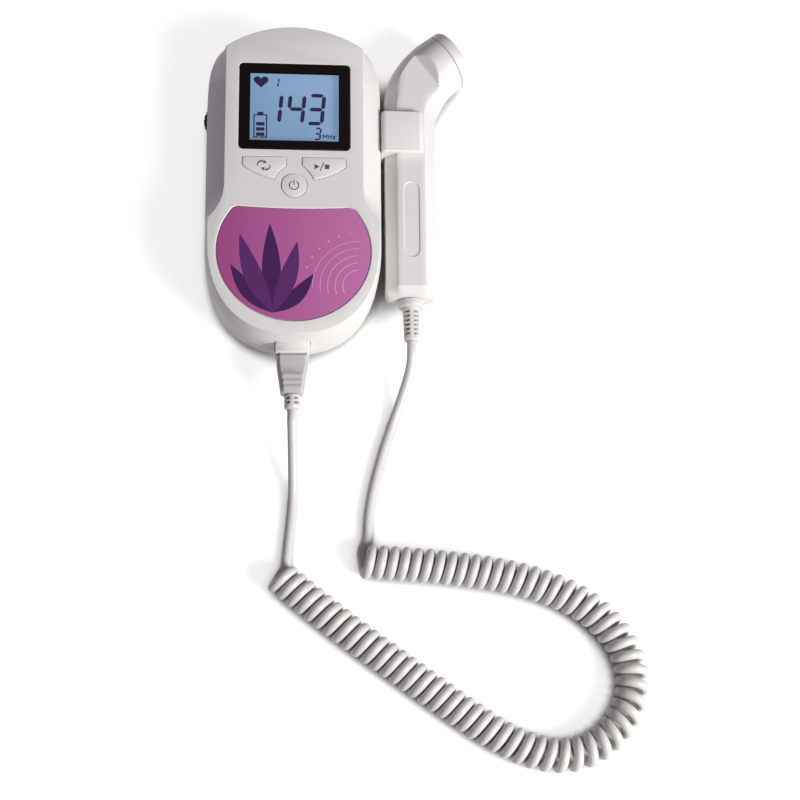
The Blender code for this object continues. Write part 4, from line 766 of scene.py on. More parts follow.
class Bench:
    """Makes closed solids, joins and cuts them, and rounds their edges."""

    @staticmethod
    def loft(name: str, rings: Sequence[Sequence[Sequence[float]]], finish: bpy.types.Material | None = None) -> bpy.types.Object:
        """Closed solid through rings that have the same number of points.

        Args:
            name: Name of the solid.
            rings: Rings of points, from one end to the other.
            finish: Its material.

        Returns:
            The solid.
        """
        data = bmesh.new()
        loops = [[data.verts.new(point) for point in ring] for ring in rings]
        count = len(rings[0])
        for low, high in zip(loops, loops[1:]):
            for i in range(count):
                j = (i + 1) % count
                data.faces.new((low[i], low[j], high[j], high[i]))
        data.faces.new(loops[0][::-1])
        data.faces.new(loops[-1])
        return mesh_piece(name, data, finish)

    @staticmethod
    def prism(name: str, outline: Sequence[Point], low: float, high: float, finish: bpy.types.Material | None = None) -> bpy.types.Object:
        """Flat outline between two heights.

        Args:
            name: Name of the solid.
            outline: Closed outline of (x, y) points.
            low: Height of its underside.
            high: Height of its top.
            finish: Its material.

        Returns:
            The solid.
        """
        return Bench.loft(name, [[(x, y, z) for x, y in outline] for z in (low, high)], finish)

    @staticmethod
    def block(name: str, low: Sequence[float], high: Sequence[float]) -> bpy.types.Object:
        """Cutter between two corners."""
        outline = [(low[0], low[1]), (high[0], low[1]), (high[0], high[1]), (low[0], high[1])]
        return Bench.prism(name, outline, low[2], high[2])

    @staticmethod
    def revolve(name: str, profile: Sequence[Point], place: Sequence[float], axis: Sequence[float],
                finish: bpy.types.Material | None = None, sides: int = 96) -> bpy.types.Object:
        """Turned solid.

        Args:
            name: Name of the solid.
            profile: Its (reach, radius) stations along the axis, with a radius at both ends.
            place: Where the reach is zero.
            axis: Direction of the axis.
            finish: Its material.
            sides: Points round the axis.

        Returns:
            The solid.
        """
        heading = Vector(axis).normalized()
        side = heading.orthogonal().normalized()
        other = heading.cross(side)
        turns = [2 * math.pi * k / sides for k in range(sides)]
        rings = []
        for reach, radius in profile:
            centre = Vector(place) + heading * reach
            rings.append([centre + (side * math.cos(t) + other * math.sin(t)) * radius for t in turns])
        return Bench.loft(name, rings, finish)

    @staticmethod
    def bake(piece: bpy.types.Object) -> bpy.types.Object:
        """Apply a piece's modifiers."""
        bpy.context.view_layer.update()
        shape = piece.evaluated_get(bpy.context.evaluated_depsgraph_get())
        mesh = bpy.data.meshes.new_from_object(shape)
        piece.modifiers.clear()
        piece.data = mesh
        return piece

    @staticmethod
    def combine(piece: bpy.types.Object, tools: Iterable[bpy.types.Object], operation: Operation) -> bpy.types.Object:
        """Join or cut a piece with other solids, which are used up.

        Args:
            piece: The piece to change.
            tools: The other solids.
            operation: What to do with them.

        Returns:
            The changed piece.
        """
        tools = list(tools)
        for tool in tools:
            step = piece.modifiers.new("shape", "BOOLEAN")
            step.operation = operation.value
            step.object = tool
            step.solver = "EXACT"
        Bench.bake(piece)
        for tool in tools:
            bpy.data.objects.remove(tool, do_unlink=True)
        return piece

    @staticmethod
    def round_edges(piece: bpy.types.Object, width: float, segments: int = 3, degrees: float = 30.0) -> bpy.types.Object:
        """Round the edges that are sharper than an angle.

        Args:
            piece: The piece to change.
            width: Width of the rounding.
            segments: Faces across the rounding.
            degrees: Least angle of an edge that gets rounded.

        Returns:
            The changed piece.
        """
        step = piece.modifiers.new("edges", "BEVEL")
        step.width = width
        step.segments = segments
        step.limit_method = "ANGLE"
        step.angle_limit = math.radians(degrees)
        step.harden_normals = True
        return Bench.bake(piece)


def mix(a: float, b: float, share: float) -> float:
    """Straight mix of two numbers."""
    return a + (b - a) * share


def ease(share: float) -> float:
    """Share from 0 to 1 with a gentle start and end."""
    share = min(max(share, 0.0), 1.0)
    return share * share * (3 - 2 * share)


def smooth_open(points: Sequence[Point], steps: int = 6) -> list[Point]:
    """Smooth open outline through every point."""
    line = smooth_line([Vector((x, y, 0.0)) for x, y in points], steps)
    return [(p.x, p.y) for p in line]


def offset(outline: Sequence[Point], distance: float) -> list[Point]:
    """Move a closed outline outwards.

    Args:
        outline: Closed outline of (x, y) points.
        distance: How far it moves, or how far in where negative.

    Returns:
        The moved outline.
    """
    count = len(outline)
    pairs = [(outline[i], outline[(i + 1) % count]) for i in range(count)]
    area = sum(a[0] * b[1] - b[0] * a[1] for a, b in pairs)
    turn = 1.0 if area > 0 else -1.0
    moved = []
    for i in range(count):
        before, here, after = (Vector(outline[(i + k) % count]) for k in (-1, 0, 1))
        directions = ((here - before).normalized(), (after - here).normalized())
        normals = [Vector((d.y, -d.x)) * turn for d in directions]
        mean = (normals[0] + normals[1]).normalized()
        moved.append(tuple(here + mean * (distance / max(mean.dot(normals[0]), 0.5))))
    return moved


def circle(radius: float, x: float = 0.0, y: float = 0.0, sides: int = 96) -> list[Point]:
    """Outline of a circle."""
    turns = [2 * math.pi * i / sides for i in range(sides)]
    return [(x + radius * math.cos(t), y + radius * math.sin(t)) for t in turns]


def rounded_polygon(corners: Sequence[tuple[float, float, float]], steps: int = 8) -> list[Point]:
    """Outline with a round at each corner.

    Args:
        corners: Each corner's x, y and radius, all in metres.
        steps: Stretches of each round.

    Returns:
        The closed outline.
    """
    outline = []
    count = len(corners)
    for i, (x, y, radius) in enumerate(corners):
        here = Vector((x, y))
        before = (Vector(corners[i - 1][:2]) - here).normalized()
        after = (Vector(corners[(i + 1) % count][:2]) - here).normalized()
        half = before.angle(after) / 2
        reach = radius / math.tan(half)
        start, end = here + before * reach, here + after * reach
        for k in range(steps + 1):
            t = k / steps
            outline.append(tuple(start * (1 - t) ** 2 + here * 2 * t * (1 - t) + end * t**2))
    return outline


@dataclass(frozen=True)
class CaseShape:
    """Outlines of the monitor's case, from the same values as the solid model's."""

    top: float = 67.3 * MM
    bottom: float = 67.3 * MM
    half_width: float = 35.5 * MM
    depth: float = 30.3 * MM
    wall: float = 2.0 * MM
    seam: float = 14.0 * MM
    facet: float = 22.5 * MM
    face_half_width: float = 28.2 * MM
    face_edge: float = 0.45 * MM
    face_drop: float = 9.2 * MM
    waist_drop: float = 6.5 * MM
    shoulder_end: float = 33.0 * MM
    sweep_start: float = -1.5 * MM
    sweep_end: float = -17.5 * MM
    sweep_power: float = 2.4
    bowl_centre: float = -25.0 * MM
    bowl_inset: float = 1.8 * MM
    bowl_power: float = 2.35
    side_share: float = 0.55
    back_inset: float = 7.0 * MM
    back_round: float = 9.0 * MM

    SHOULDER = ((0.0, 0.0), (0.47, 0.14), (0.76, 0.32), (0.89, 0.48), (0.96, 0.66), (1.0, 1.0))
    ARC_STEPS = 24
    SWEEP_STEPS = 28
    BOWL_STEPS = 44

    def half(self, face: float) -> list[Point]:
        """Right half of the outline, top to bottom; face is 1 at the face and 0 at the waist."""
        drop = mix(self.waist_drop, self.face_drop, face)
        radius = (self.face_half_width**2 + drop**2) / (2 * drop)
        whole = math.asin(self.face_half_width / radius)
        turns = [whole * i / self.ARC_STEPS for i in range(self.ARC_STEPS + 1)]
        points = [(radius * math.sin(t), self.top - radius * (1 - math.cos(t))) for t in turns]
        shoulder_y = points[-1][1]
        for across, down in smooth_open(self.SHOULDER)[1:]:
            waist = mix(self.face_half_width, self.half_width, min(across, 1.0))
            points.append((mix(waist, self.face_half_width, face), mix(shoulder_y, self.shoulder_end, down)))
        side = self.half_width - self.bowl_inset * self.side_share * face
        for i in range(self.SWEEP_STEPS + 1):
            share = i / self.SWEEP_STEPS
            swept = mix(self.face_half_width, side, share**self.sweep_power)
            points.append((mix(self.half_width, swept, face), mix(self.sweep_start, self.sweep_end, share)))
        deep = self.bottom + self.bowl_centre - self.bowl_inset * face
        for i in range(self.BOWL_STEPS + 1):
            angle = math.pi / 2 * i / self.BOWL_STEPS
            x = side * max(math.cos(angle), 0.0) ** (2 / self.bowl_power)
            y = self.bowl_centre - deep * math.sin(angle) ** (2 / self.bowl_power)
            points.append((x if i < self.BOWL_STEPS else 0.0, y))
        return points

    def ring(self, height: float, face: float = 0.0, inset: float = 0.0) -> list[tuple[float, float, float]]:
        """Closed ring of the case at a height, drawn in by an inset."""
        half = self.half(face)
        outline = [*half, *[(-x, y) for x, y in reversed(half[1:-1])]]
        if inset:
            outline = offset(outline, -inset)
        return [(x, y, height) for x, y in outline]

    def front(self) -> list[list[tuple[float, float, float]]]:
        """Rings of the front shell's outside, from the seam to the face, with a rounded edge."""
        edge = self.depth - self.face_edge
        rings = [self.ring(self.seam + 0.15 * MM, 0.0, 0.12 * MM), self.ring(self.seam + 0.3 * MM)]
        rings += [self.ring(self.facet - 0.25 * MM), self.ring(self.facet + 0.1 * MM, 0.02), self.ring(edge, 1.0)]
        for degrees in (30, 60, 90):
            turn = math.radians(degrees)
            height = edge + self.face_edge * math.sin(turn)
            rings.append(self.ring(height, 1.0, self.face_edge * (1 - math.cos(turn))))
        return rings

    def front_space(self) -> list[list[tuple[float, float, float]]]:
        """Rings of the space inside the front shell."""
        wall = self.wall
        return [
            self.ring(self.seam - wall, 0.0, wall),
            self.ring(self.facet - wall / 2, 0.0, wall),
            self.ring(self.depth - wall, 1.0, wall),
        ]

    def back(self) -> list[list[tuple[float, float, float]]]:
        """Rings of the rear shell's outside, from its flat back to the seam."""
        rings = []
        for i in range(13):
            turn = math.pi / 2 * i / 12
            height = self.back_round * (1 - math.cos(turn))
            rings.append(self.ring(height, 0.0, self.back_inset * (1 - math.sin(turn))))
        rings += [self.ring(self.seam - 0.3 * MM), self.ring(self.seam - 0.15 * MM, 0.0, 0.12 * MM)]
        return rings


class Panel:
    """Places on the monitor's face, shared by the shell's openings and by what sits in them."""

    CLEARANCE = 0.3 * MM
    WINDOW_HALF_WIDTH = 22.4 * MM
    WINDOW_TOP = 50.5 * MM
    WINDOW_BOTTOM = 12.8 * MM
    WINDOW_CORNER = 1.9 * MM
    WINDOW_FLOOR = 28.8 * MM
    FACE = 30.3 * MM
    KEY_TOP = 30.65 * MM
    KEY_FOOT = 27.0 * MM
    POWER_Y = -2.9 * MM
    POWER_RADIUS = 5.0 * MM
    LABEL_HALF_WIDTH = 30.6 * MM
    LABEL_TOP = -12.3 * MM
    LABEL_BOTTOM = -60.0 * MM
    LABEL_SHOULDER = 23.0 * MM
    LABEL_SAG = 0.8 * MM
    SCREWS = ((20.5 * MM, 53.8 * MM), (25.0 * MM, -33.0 * MM))

    @classmethod
    def window(cls, grow: float = 0.0) -> list[Point]:
        """Outline of the window, grown by a distance."""
        x, low, high = cls.WINDOW_HALF_WIDTH + grow, cls.WINDOW_BOTTOM - grow, cls.WINDOW_TOP + grow
        round_ = cls.WINDOW_CORNER + grow
        return rounded_polygon([(x, low, round_), (x, high, round_), (-x, high, round_), (-x, low, round_)])

    @classmethod
    def side_key(cls, side: int) -> list[Point]:
        """Outline of the key left (-1) or right (1) of the power key."""
        places = (
            (3.4, 9.2, 0.7), (20.7, 9.05, 0.6), (20.7, 5.5, 0.9), (18.9, 4.15, 4.0), (16.9, 2.95, 4.0), (14.8, 1.95, 4.0),
            (12.6, 1.05, 4.0), (10.4, 0.3, 4.0), (8.1, -0.4, 0.7), (7.35, 1.15, 4.0), (6.3, 2.75, 4.0), (5.0, 4.25, 4.0), (3.4, 5.7, 0.7),
        )
        corners = [(side * x * MM, y * MM, corner * MM) for x, y, corner in places]
        return rounded_polygon(corners if side < 0 else corners[::-1], 5)

    @classmethod
    def keys(cls) -> dict[str, list[Point]]:
        """Outlines of the three keys by their node."""
        return {
            Body.MODE.value: cls.side_key(-1),
            Body.PLAY.value: cls.side_key(1),
            Body.POWER.value: circle(cls.POWER_RADIUS, 0.0, cls.POWER_Y),
        }

    @classmethod
    def label(cls) -> list[Point]:
        """Outline of the label: a bowl below, round shoulders and a slightly sagging edge above."""
        middle = (cls.LABEL_TOP + cls.LABEL_BOTTOM) / 2 + (cls.LABEL_TOP - cls.LABEL_BOTTOM) * 0.11
        low, high = middle - cls.LABEL_BOTTOM, cls.LABEL_TOP - middle
        start = math.asin(0.62 * high / low) + math.radians(8)
        top = [(x, cls.LABEL_TOP - cls.LABEL_SAG * (1 - (x / cls.LABEL_SHOULDER) ** 2))
               for x in (cls.LABEL_SHOULDER * k / 8 for k in range(8))]
        shoulder = [(cls.LABEL_SHOULDER * 0.96, cls.LABEL_TOP), (cls.LABEL_SHOULDER * 1.05, cls.LABEL_TOP - cls.LABEL_SAG)]
        bowl = []
        for i in range(15):
            turn = mix(start, -math.pi / 2, i / 14)
            bowl.append((cls.LABEL_HALF_WIDTH * max(math.cos(turn), 0.0), middle + low * math.sin(turn)))
        half = top + smooth_open(shoulder + bowl, 7)
        half[-1] = (0.0, half[-1][1])
        return [*half, *[(-x, y) for x, y in reversed(half[1:-1])]]


@dataclass
class FrontShell:
    """Moulded front shell with every opening, its edges broken where the face meets a part."""

    shape: CaseShape
    lip: float = 0.3 * MM

    def opening(self, name: str, outline: Sequence[Point], floor: float, lip: float | None = None) -> bpy.types.Object:
        """Cutter for an opening in the face, flared at the face.

        Args:
            name: Name of the cutter.
            outline: Outline of the part that sits in the opening.
            floor: Height of the opening's lower end.
            lip: Width of the broken edge.

        Returns:
            The cutter.
        """
        lip = self.lip if lip is None else lip
        fit = offset(outline, Panel.CLEARANCE * 0.8)
        wide = offset(outline, Panel.CLEARANCE * 0.8 + lip)
        over = offset(outline, Panel.CLEARANCE * 0.8 + lip * 2)
        stations = ((floor, fit), (self.shape.depth - lip, fit), (self.shape.depth, wide), (self.shape.depth + lip, over))
        return Bench.loft(name, [[(x, y, z) for x, y in ring] for z, ring in stations])

    def bosses(self) -> list[bpy.types.Object]:
        """Screw bosses under the face."""
        posts = []
        for i, (x, y) in enumerate(Panel.SCREWS):
            for side in (-1, 1):
                foot = (side * x, y, self.shape.seam + 0.15 * MM)
                posts.append(Bench.revolve(f"post_{i}_{side}", [(0.0, 3.1 * MM), (14.5 * MM, 3.1 * MM)], foot, (0, 0, 1), None, 32))
        return posts

    def cutters(self) -> list[bpy.types.Object]:
        """Everything that is cut from the shell."""
        top = self.shape.depth + 1.0 * MM
        tools = [Bench.loft("space", self.shape.front_space())]
        tools.append(self.opening("window_seat", Panel.window(), Panel.WINDOW_FLOOR, 0.2 * MM))
        tools.append(Bench.block("window_hole", (-20.0 * MM, 15.2 * MM, 26.0 * MM), (20.0 * MM, 48.1 * MM, top)))
        for name, outline in Panel.keys().items():
            tools.append(self.opening(name + "_hole", outline, 26.0 * MM))
        tools.append(self.opening("label_seat", Panel.label(), 29.5 * MM, 0.35 * MM))
        tools.append(Bench.block("wheel_slot", (-37.6 * MM, 21.1 * MM, 15.2 * MM), (-29.0 * MM, 38.3 * MM, 18.8 * MM)))
        tools.append(Bench.block("port_slot", (-7.1 * MM, -72.8 * MM, 10.4 * MM), (7.1 * MM, -60.1 * MM, 23.6 * MM)))
        tools.append(Bench.revolve("jack_hole", [(0.0, 2.2 * MM), (12.0 * MM, 2.2 * MM)], (-12.0 * MM, 59.0 * MM, 18.7 * MM), (0, 1, 0), None, 40))
        for i, y in enumerate((19.5 * MM, 28.5 * MM)):
            low, high = (31.5 * MM, y - 2.8 * MM, 16.75 * MM), (37.5 * MM, y + 2.8 * MM, 19.75 * MM)
            tools.append(Bench.block(f"tongue_slot_{i}", low, high))
        return tools

    def build(self, finishes: Finishes) -> None:
        """Build the shell in place of its node."""
        shell = Bench.loft("front_moulding", self.shape.front(), finishes.white)
        tools = self.cutters()
        Bench.combine(shell, tools[:1], Operation.CUT)
        Bench.combine(shell, self.bosses(), Operation.JOIN)
        Bench.combine(shell, tools[1:], Operation.CUT)
        shade(shell, 28.0)
        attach(shell, Body.MONITOR.value)
        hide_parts("front_shell")


class Marks:
    """Thin printed marks: filled outlines, strokes, arcs and digits."""

    def __init__(self, floor: float, thickness: float = 0.03 * MM) -> None:
        """Start an empty print.

        Args:
            floor: Height of the surface that carries it.
            thickness: Thickness of the print.
        """
        self.floor = floor
        self.thickness = thickness
        self.data = bmesh.new()

    def fill(self, outline: Sequence[Point]) -> None:
        """Add a filled outline, in metres."""
        low = [self.data.verts.new((x, y, self.floor)) for x, y in outline]
        high = [self.data.verts.new((x, y, self.floor + self.thickness)) for x, y in outline]
        self.data.faces.new(low[::-1])
        self.data.faces.new(high)
        for i in range(len(outline)):
            j = (i + 1) % len(outline)
            self.data.faces.new((low[i], low[j], high[j], high[i]))

    def stroke(self, points: Sequence[Point], width: float) -> None:
        """Add a stroke of a width along points, with square ends."""
        spots = [Vector(point) for point in points]
        left, right = [], []
        for i, spot in enumerate(spots):
            ahead, behind = spots[min(i + 1, len(spots) - 1)], spots[max(i - 1, 0)]
            heading = (ahead - behind).normalized()
            side = Vector((-heading.y, heading.x)) * width / 2
            if 0 < i < len(spots) - 1:
                side /= max(heading.dot((spots[i + 1] - spot).normalized()), 0.6)
            left.append(tuple(spot + side))
            right.append(tuple(spot - side))
        self.fill(left + right[::-1])

    def arc(self, centre: Point, radii: Point, start: float, end: float, width: float) -> None:
        """Add an arc of an ellipse between two angles in degrees."""
        count = max(6, round(abs(end - start) / 6))
        turns = [math.radians(mix(start, end, i / count)) for i in range(count + 1)]
        self.stroke([(centre[0] + radii[0] * math.cos(t), centre[1] + radii[1] * math.sin(t)) for t in turns], width)

    def dot(self, centre: Point, radius: float) -> None:
        """Add a round dot."""
        self.fill(circle(radius, centre[0], centre[1], 20))

    def digit(self, which: str, corner: Point, size: Point, bar: float, slant: float = 0.12) -> None:
        """Add a digit of seven bars.

        Args:
            which: The digit.
            corner: Its lower left corner.
            size: Its width and height.
            bar: Thickness of a bar.
            slant: How far it leans, as a share of its height.
        """
        lit = {"0": "abcdef", "1": "bc", "3": "abcdg", "4": "bcfg"}[which]
        width, height = size
        gap = bar * 0.12
        places = {
            "a": ((0, 1), (1, 1)), "b": ((1, 0.5), (1, 1)), "c": ((1, 0), (1, 0.5)), "d": ((0, 0), (1, 0)),
            "e": ((0, 0), (0, 0.5)), "f": ((0, 0.5), (0, 1)), "g": ((0, 0.5), (1, 0.5)),
        }
        for name in lit:
            (u0, v0), (u1, v1) = places[name]
            inner = (width - bar, height - bar)
            start = Vector((bar / 2 + u0 * inner[0], bar / 2 + v0 * inner[1]))
            end = Vector((bar / 2 + u1 * inner[0], bar / 2 + v1 * inner[1]))
            along = (end - start).normalized()
            across = Vector((-along.y, along.x)) * bar / 2
            tips = (start + along * gap, end - along * gap)
            near, far = tips[0] + along * bar / 2, tips[1] - along * bar / 2
            ring = [tips[0], near - across, far - across, tips[1], far + across, near + across]
            self.fill([(corner[0] + p.x + slant * p.y, corner[1] + p.y) for p in ring])

    def finish(self, name: str, finish: bpy.types.Material, body: Body, slot: str) -> bpy.types.Object:
        """Turn the print into a piece that rides on a body."""
        piece = mesh_piece(name, self.data, finish)
        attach(piece, body.value)
        return piece


@dataclass
class Display:
    """Window with its black border, liquid-crystal panel and the dark segments on it."""

    shape: CaseShape
    glass_top: float = 28.0 * MM
    view_half_width: float = 18.0 * MM
    view_top: float = 46.2 * MM
    view_bottom: float = 16.2 * MM

    def plate(self, finishes: Finishes) -> None:
        """Build the window plate with a rounded edge."""
        plate = Bench.prism("window_plate", Panel.window(), 29.1 * MM, self.shape.depth, finishes.window)
        shade(Bench.round_edges(plate, 0.12 * MM, 2), 40.0)
        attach(plate, Body.MONITOR.value)
        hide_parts("display_window")

    def panel(self, finishes: Finishes) -> None:
        """Build the lit panel under the window."""
        x = 19.4 * MM
        corners = [(x, 14.8 * MM, 0.5 * MM), (x, 47.6 * MM, 0.5 * MM), (-x, 47.6 * MM, 0.5 * MM), (-x, 14.8 * MM, 0.5 * MM)]
        panel = Bench.prism("liquid_crystal_panel", rounded_polygon(corners, 3), 25.8 * MM, self.glass_top, finishes.backlight)
        shade(panel)
        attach(panel, Body.MONITOR.value)
        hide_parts("lcd_glass")

    def heart(self, marks: Marks) -> None:
        """Add the heart."""
        outline = []
        for i in range(48):
            t = 2 * math.pi * i / 48
            x = 16 * math.sin(t) ** 3
            y = 13 * math.cos(t) - 5 * math.cos(2 * t) - 2 * math.cos(3 * t) - math.cos(4 * t)
            y = max(y, -14.8 + x * x / 34)
            outline.append((-13.7 * MM + x / 32 * 6.1 * MM, 43.1 * MM + (y + 2.5) / 29 * 5.3 * MM))
        marks.fill(outline)

    def battery(self, marks: Marks) -> None:
        """Add the battery with its nub and three bars."""
        left, right, low, high = -16.6 * MM, -11.0 * MM, 18.5 * MM, 28.8 * MM
        line = 0.5 * MM
        inner = line / 2
        marks.stroke([(left + inner, low), (left + inner, high)], line)
        marks.stroke([(right - inner, low), (right - inner, high)], line)
        marks.stroke([(left + line, high - inner), (right - line, high - inner)], line)
        marks.stroke([(left + line, low + inner), (left + 2.2 * MM, low + inner)], line)
        marks.stroke([(left + 2.7 * MM, low + inner), (right - line, low + inner)], line)
        marks.stroke([(left + 1.6 * MM, high + 0.55 * MM), (right - 1.6 * MM, high + 0.55 * MM)], 1.1 * MM)
        for k in range(3):
            y = low + (1.5 + 2.3 * k) * MM
            marks.stroke([(left + 1.1 * MM, y), (right - 1.1 * MM, y)], 1.5 * MM)

    def unit(self, marks: Marks) -> None:
        """Add the frequency's unit in plain strokes."""
        low, high, line = 18.7 * MM, 20.5 * MM, 0.36 * MM
        strokes = (
            ((11.8, 0), (11.8, 1)), ((11.8, 1), (12.55, 0.3)), ((12.55, 0.3), (13.3, 1)), ((13.3, 1), (13.3, 0)),
            ((14.0, 0), (14.0, 1)), ((14.0, 0.5), (15.1, 0.5)), ((15.1, 0), (15.1, 1)),
            ((15.7, 0.6), (16.6, 0.6)), ((16.6, 0.6), (15.7, 0)), ((15.7, 0), (16.6, 0)),
        )
        for start, end in strokes:
            marks.stroke([(x * MM, mix(low, high, share)) for x, share in (start, end)], line)

    def segments(self, finishes: Finishes) -> None:
        """Build the dark segments on the panel."""
        marks = Marks(self.glass_top + 0.01 * MM)
        self.heart(marks)
        self.battery(marks)
        self.unit(marks)
        marks.digit("1", (-8.6 * MM, 40.9 * MM), (2.0 * MM, 4.5 * MM), 0.62 * MM)
        bar = 1.6 * MM
        size = (7.35 * MM, 14.0 * MM)
        for which, x in (("1", -12.9), ("4", -3.55), ("3", 4.45)):
            marks.digit(which, (x * MM, 24.45 * MM), size, bar, 0.09)
        marks.digit("3", (7.85 * MM, 17.9 * MM), (2.85 * MM, 5.6 * MM), 0.75 * MM, 0.09)
        marks.finish("display_segments", finishes.segment, Body.MONITOR, "black_plastic")

    def build(self, finishes: Finishes) -> None:
        """Build the display."""
        self.plate(finishes)
        self.panel(finishes)
        self.segments(finishes)


@dataclass
class Keys:
    """The three keys with softly rounded caps and their printed symbols."""

    edge: float = 0.3 * MM
    flange: float = 1.0 * MM
    overlap: float = 0.1 * MM

    def cap(self, node: str, outline: Sequence[Point], finishes: Finishes) -> None:
        """Build one key cap with its flange.

        Args:
            node: Name of the key's node and body.
            outline: Outline of the cap.
            finishes: The object's finishes.
        """
        top = Panel.KEY_TOP - 0.03 * MM
        skirt = offset(outline, self.flange)
        outline = offset(outline, self.overlap)
        stations = [(Panel.KEY_FOOT, skirt), (Panel.KEY_FOOT + 1.0 * MM, skirt), (Panel.KEY_FOOT + 1.0 * MM, outline)]
        for degrees in (0, 30, 60, 90):
            turn = math.radians(degrees)
            inset = self.edge * (1 - math.cos(turn))
            stations.append((top - self.edge + self.edge * math.sin(turn), offset(outline, -inset) if inset else outline))
        rings = [[(x, y, z) for x, y in ring] for z, ring in stations]
        cap = Bench.loft(node + "_cap", rings, finishes.white)
        shade(cap, 35.0)
        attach(cap, node)
        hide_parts(node)

    def cycle(self, finishes: Finishes) -> None:
        """Print the two turning arrows on the left key."""
        marks = Marks(Panel.KEY_TOP - 0.03 * MM)
        centre = Vector((-12.2 * MM, 5.3 * MM))
        for side in (1, -1):
            spot = (centre.x - side * 0.75 * MM, centre.y + side * 0.35 * MM)
            start, end = (205, 78) if side > 0 else (25, -102)
            count = 14
            outer, inner = [], []
            for i in range(count + 1):
                share = i / count
                turn = math.radians(mix(start, end, share))
                width = mix(0.14, 0.40, share) * MM
                for ring, sign in ((outer, 1), (inner, -1)):
                    radius_x, radius_y = 1.75 * MM + sign * width, 1.5 * MM + sign * width
                    ring.append((spot[0] + radius_x * math.cos(turn), spot[1] + radius_y * math.sin(turn)))
            marks.fill(outer + inner[::-1])
            head = ((1.2, 1.05), (-0.35, 0.85), (0.02, 2.5))
            marks.fill([(centre.x + side * x * MM, centre.y + side * y * MM) for x, y in head])
        marks.finish("cycle_symbol", finishes.print_grey, Body.MODE, "black_plastic")

    def play(self, finishes: Finishes) -> None:
        """Print the play, slash and stop symbols on the right key."""
        marks = Marks(Panel.KEY_TOP - 0.03 * MM)
        x, y = 11.3 * MM, 5.2 * MM
        marks.fill([(x - 3.1 * MM, y - 1.2 * MM), (x - 1.1 * MM, y), (x - 3.1 * MM, y + 1.2 * MM)])
        marks.stroke([(x - 0.9 * MM, y - 1.9 * MM), (x + 0.7 * MM, y + 1.9 * MM)], 0.38 * MM)
        low, high = (x + 1.0 * MM, y - 0.95 * MM), (x + 2.9 * MM, y + 0.95 * MM)
        marks.fill([low, (high[0], low[1]), high, (low[0], high[1])])
        marks.finish("play_symbol", finishes.print_grey, Body.PLAY, "black_plastic")

    def power(self, finishes: Finishes) -> None:
        """Print the power symbol on the round key."""
        marks = Marks(Panel.KEY_TOP - 0.03 * MM)
        centre = (0.0, Panel.POWER_Y - 0.15 * MM)
        marks.arc(centre, (1.85 * MM, 1.85 * MM), 120, 420, 0.42 * MM)
        marks.stroke([(0.0, centre[1] + 0.1 * MM), (0.0, centre[1] + 2.35 * MM)], 0.42 * MM)
        marks.finish("power_symbol", finishes.print_grey, Body.POWER, "black_plastic")

    def build(self, finishes: Finishes) -> None:
        """Build the keys."""
        for node, outline in Panel.keys().items():
            self.cap(node, outline, finishes)
        self.cycle(finishes)
        self.play(finishes)
        self.power(finishes)


@dataclass
class Label:
    """Face label with a plain design of its own: a spray of leaves and thin waves."""

    top: float = 30.22 * MM

    def leaf(self, marks: Marks, base: Point, tip: Point, width: float, bow: float) -> None:
        """Add one leaf.

        Args:
            marks: The print.
            base: Where it starts.
            tip: Its point.
            width: Its widest, halfway along.
            bow: How far its middle bows to the left.
        """
        start, end = Vector(base), Vector(tip)
        along = (end - start).normalized()
        across = Vector((-along.y, along.x))
        sides: tuple[list[Point], list[Point]] = ([], [])
        for i in range(25):
            share = i / 24
            middle = start.lerp(end, share) + across * bow * math.sin(math.pi * share)
            half = width / 2 * math.sin(math.pi * share) ** 0.9 * (1.1 - 0.25 * share)
            for ring, sign in zip(sides, (1, -1)):
                ring.append(tuple(middle + across * half * sign))
        marks.fill(sides[0] + sides[1][-2:0:-1])

    def build(self, finishes: Finishes) -> None:
        """Build the label and its print."""
        label = Bench.prism("label_film", Panel.label(), 29.8 * MM, self.top, finishes.label)
        shade(Bench.round_edges(label, 0.08 * MM, 2), 40.0)
        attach(label, Body.MONITOR.value)
        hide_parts("front_label")
        base = (-8.0 * MM, -57.0 * MM)
        fan = (((-25.0, -37.0), 6.4, 1.6), ((-21.5, -24.0), 7.4, 1.4), ((-9.5, -19.5), 7.6, 0.0), ((1.5, -27.0), 7.0, -1.2), ((8.0, -40.5), 6.0, -1.6))
        for i, (tip, width, bow) in enumerate(fan):
            leaves = Marks(self.top, (0.02 + 0.008 * (i % 2)) * MM)
            self.leaf(leaves, base, (tip[0] * MM, tip[1] * MM), width * MM, bow * MM)
            leaves.finish(f"label_leaf_{i}", finishes.label_dark if i % 2 == 0 else finishes.label_mid, Body.MONITOR, "label_film")
        waves = Marks(self.top, 0.02 * MM)
        centre = (26.5 * MM, -45.5 * MM)
        for k in range(5):
            radius = (7.0 + 3.0 * k) * MM
            waves.arc(centre, (radius, radius), 96 - 2 * k, 206 - 6 * k, (0.42 - 0.04 * k) * MM)
        for k in range(6):
            turn = math.radians(100 + 12 * k)
            waves.dot((centre[0] + 22.6 * MM * math.cos(turn), centre[1] + 22.6 * MM * math.sin(turn)), 0.42 * MM)
        waves.finish("label_waves", finishes.label_light, Body.MONITOR, "label_film")


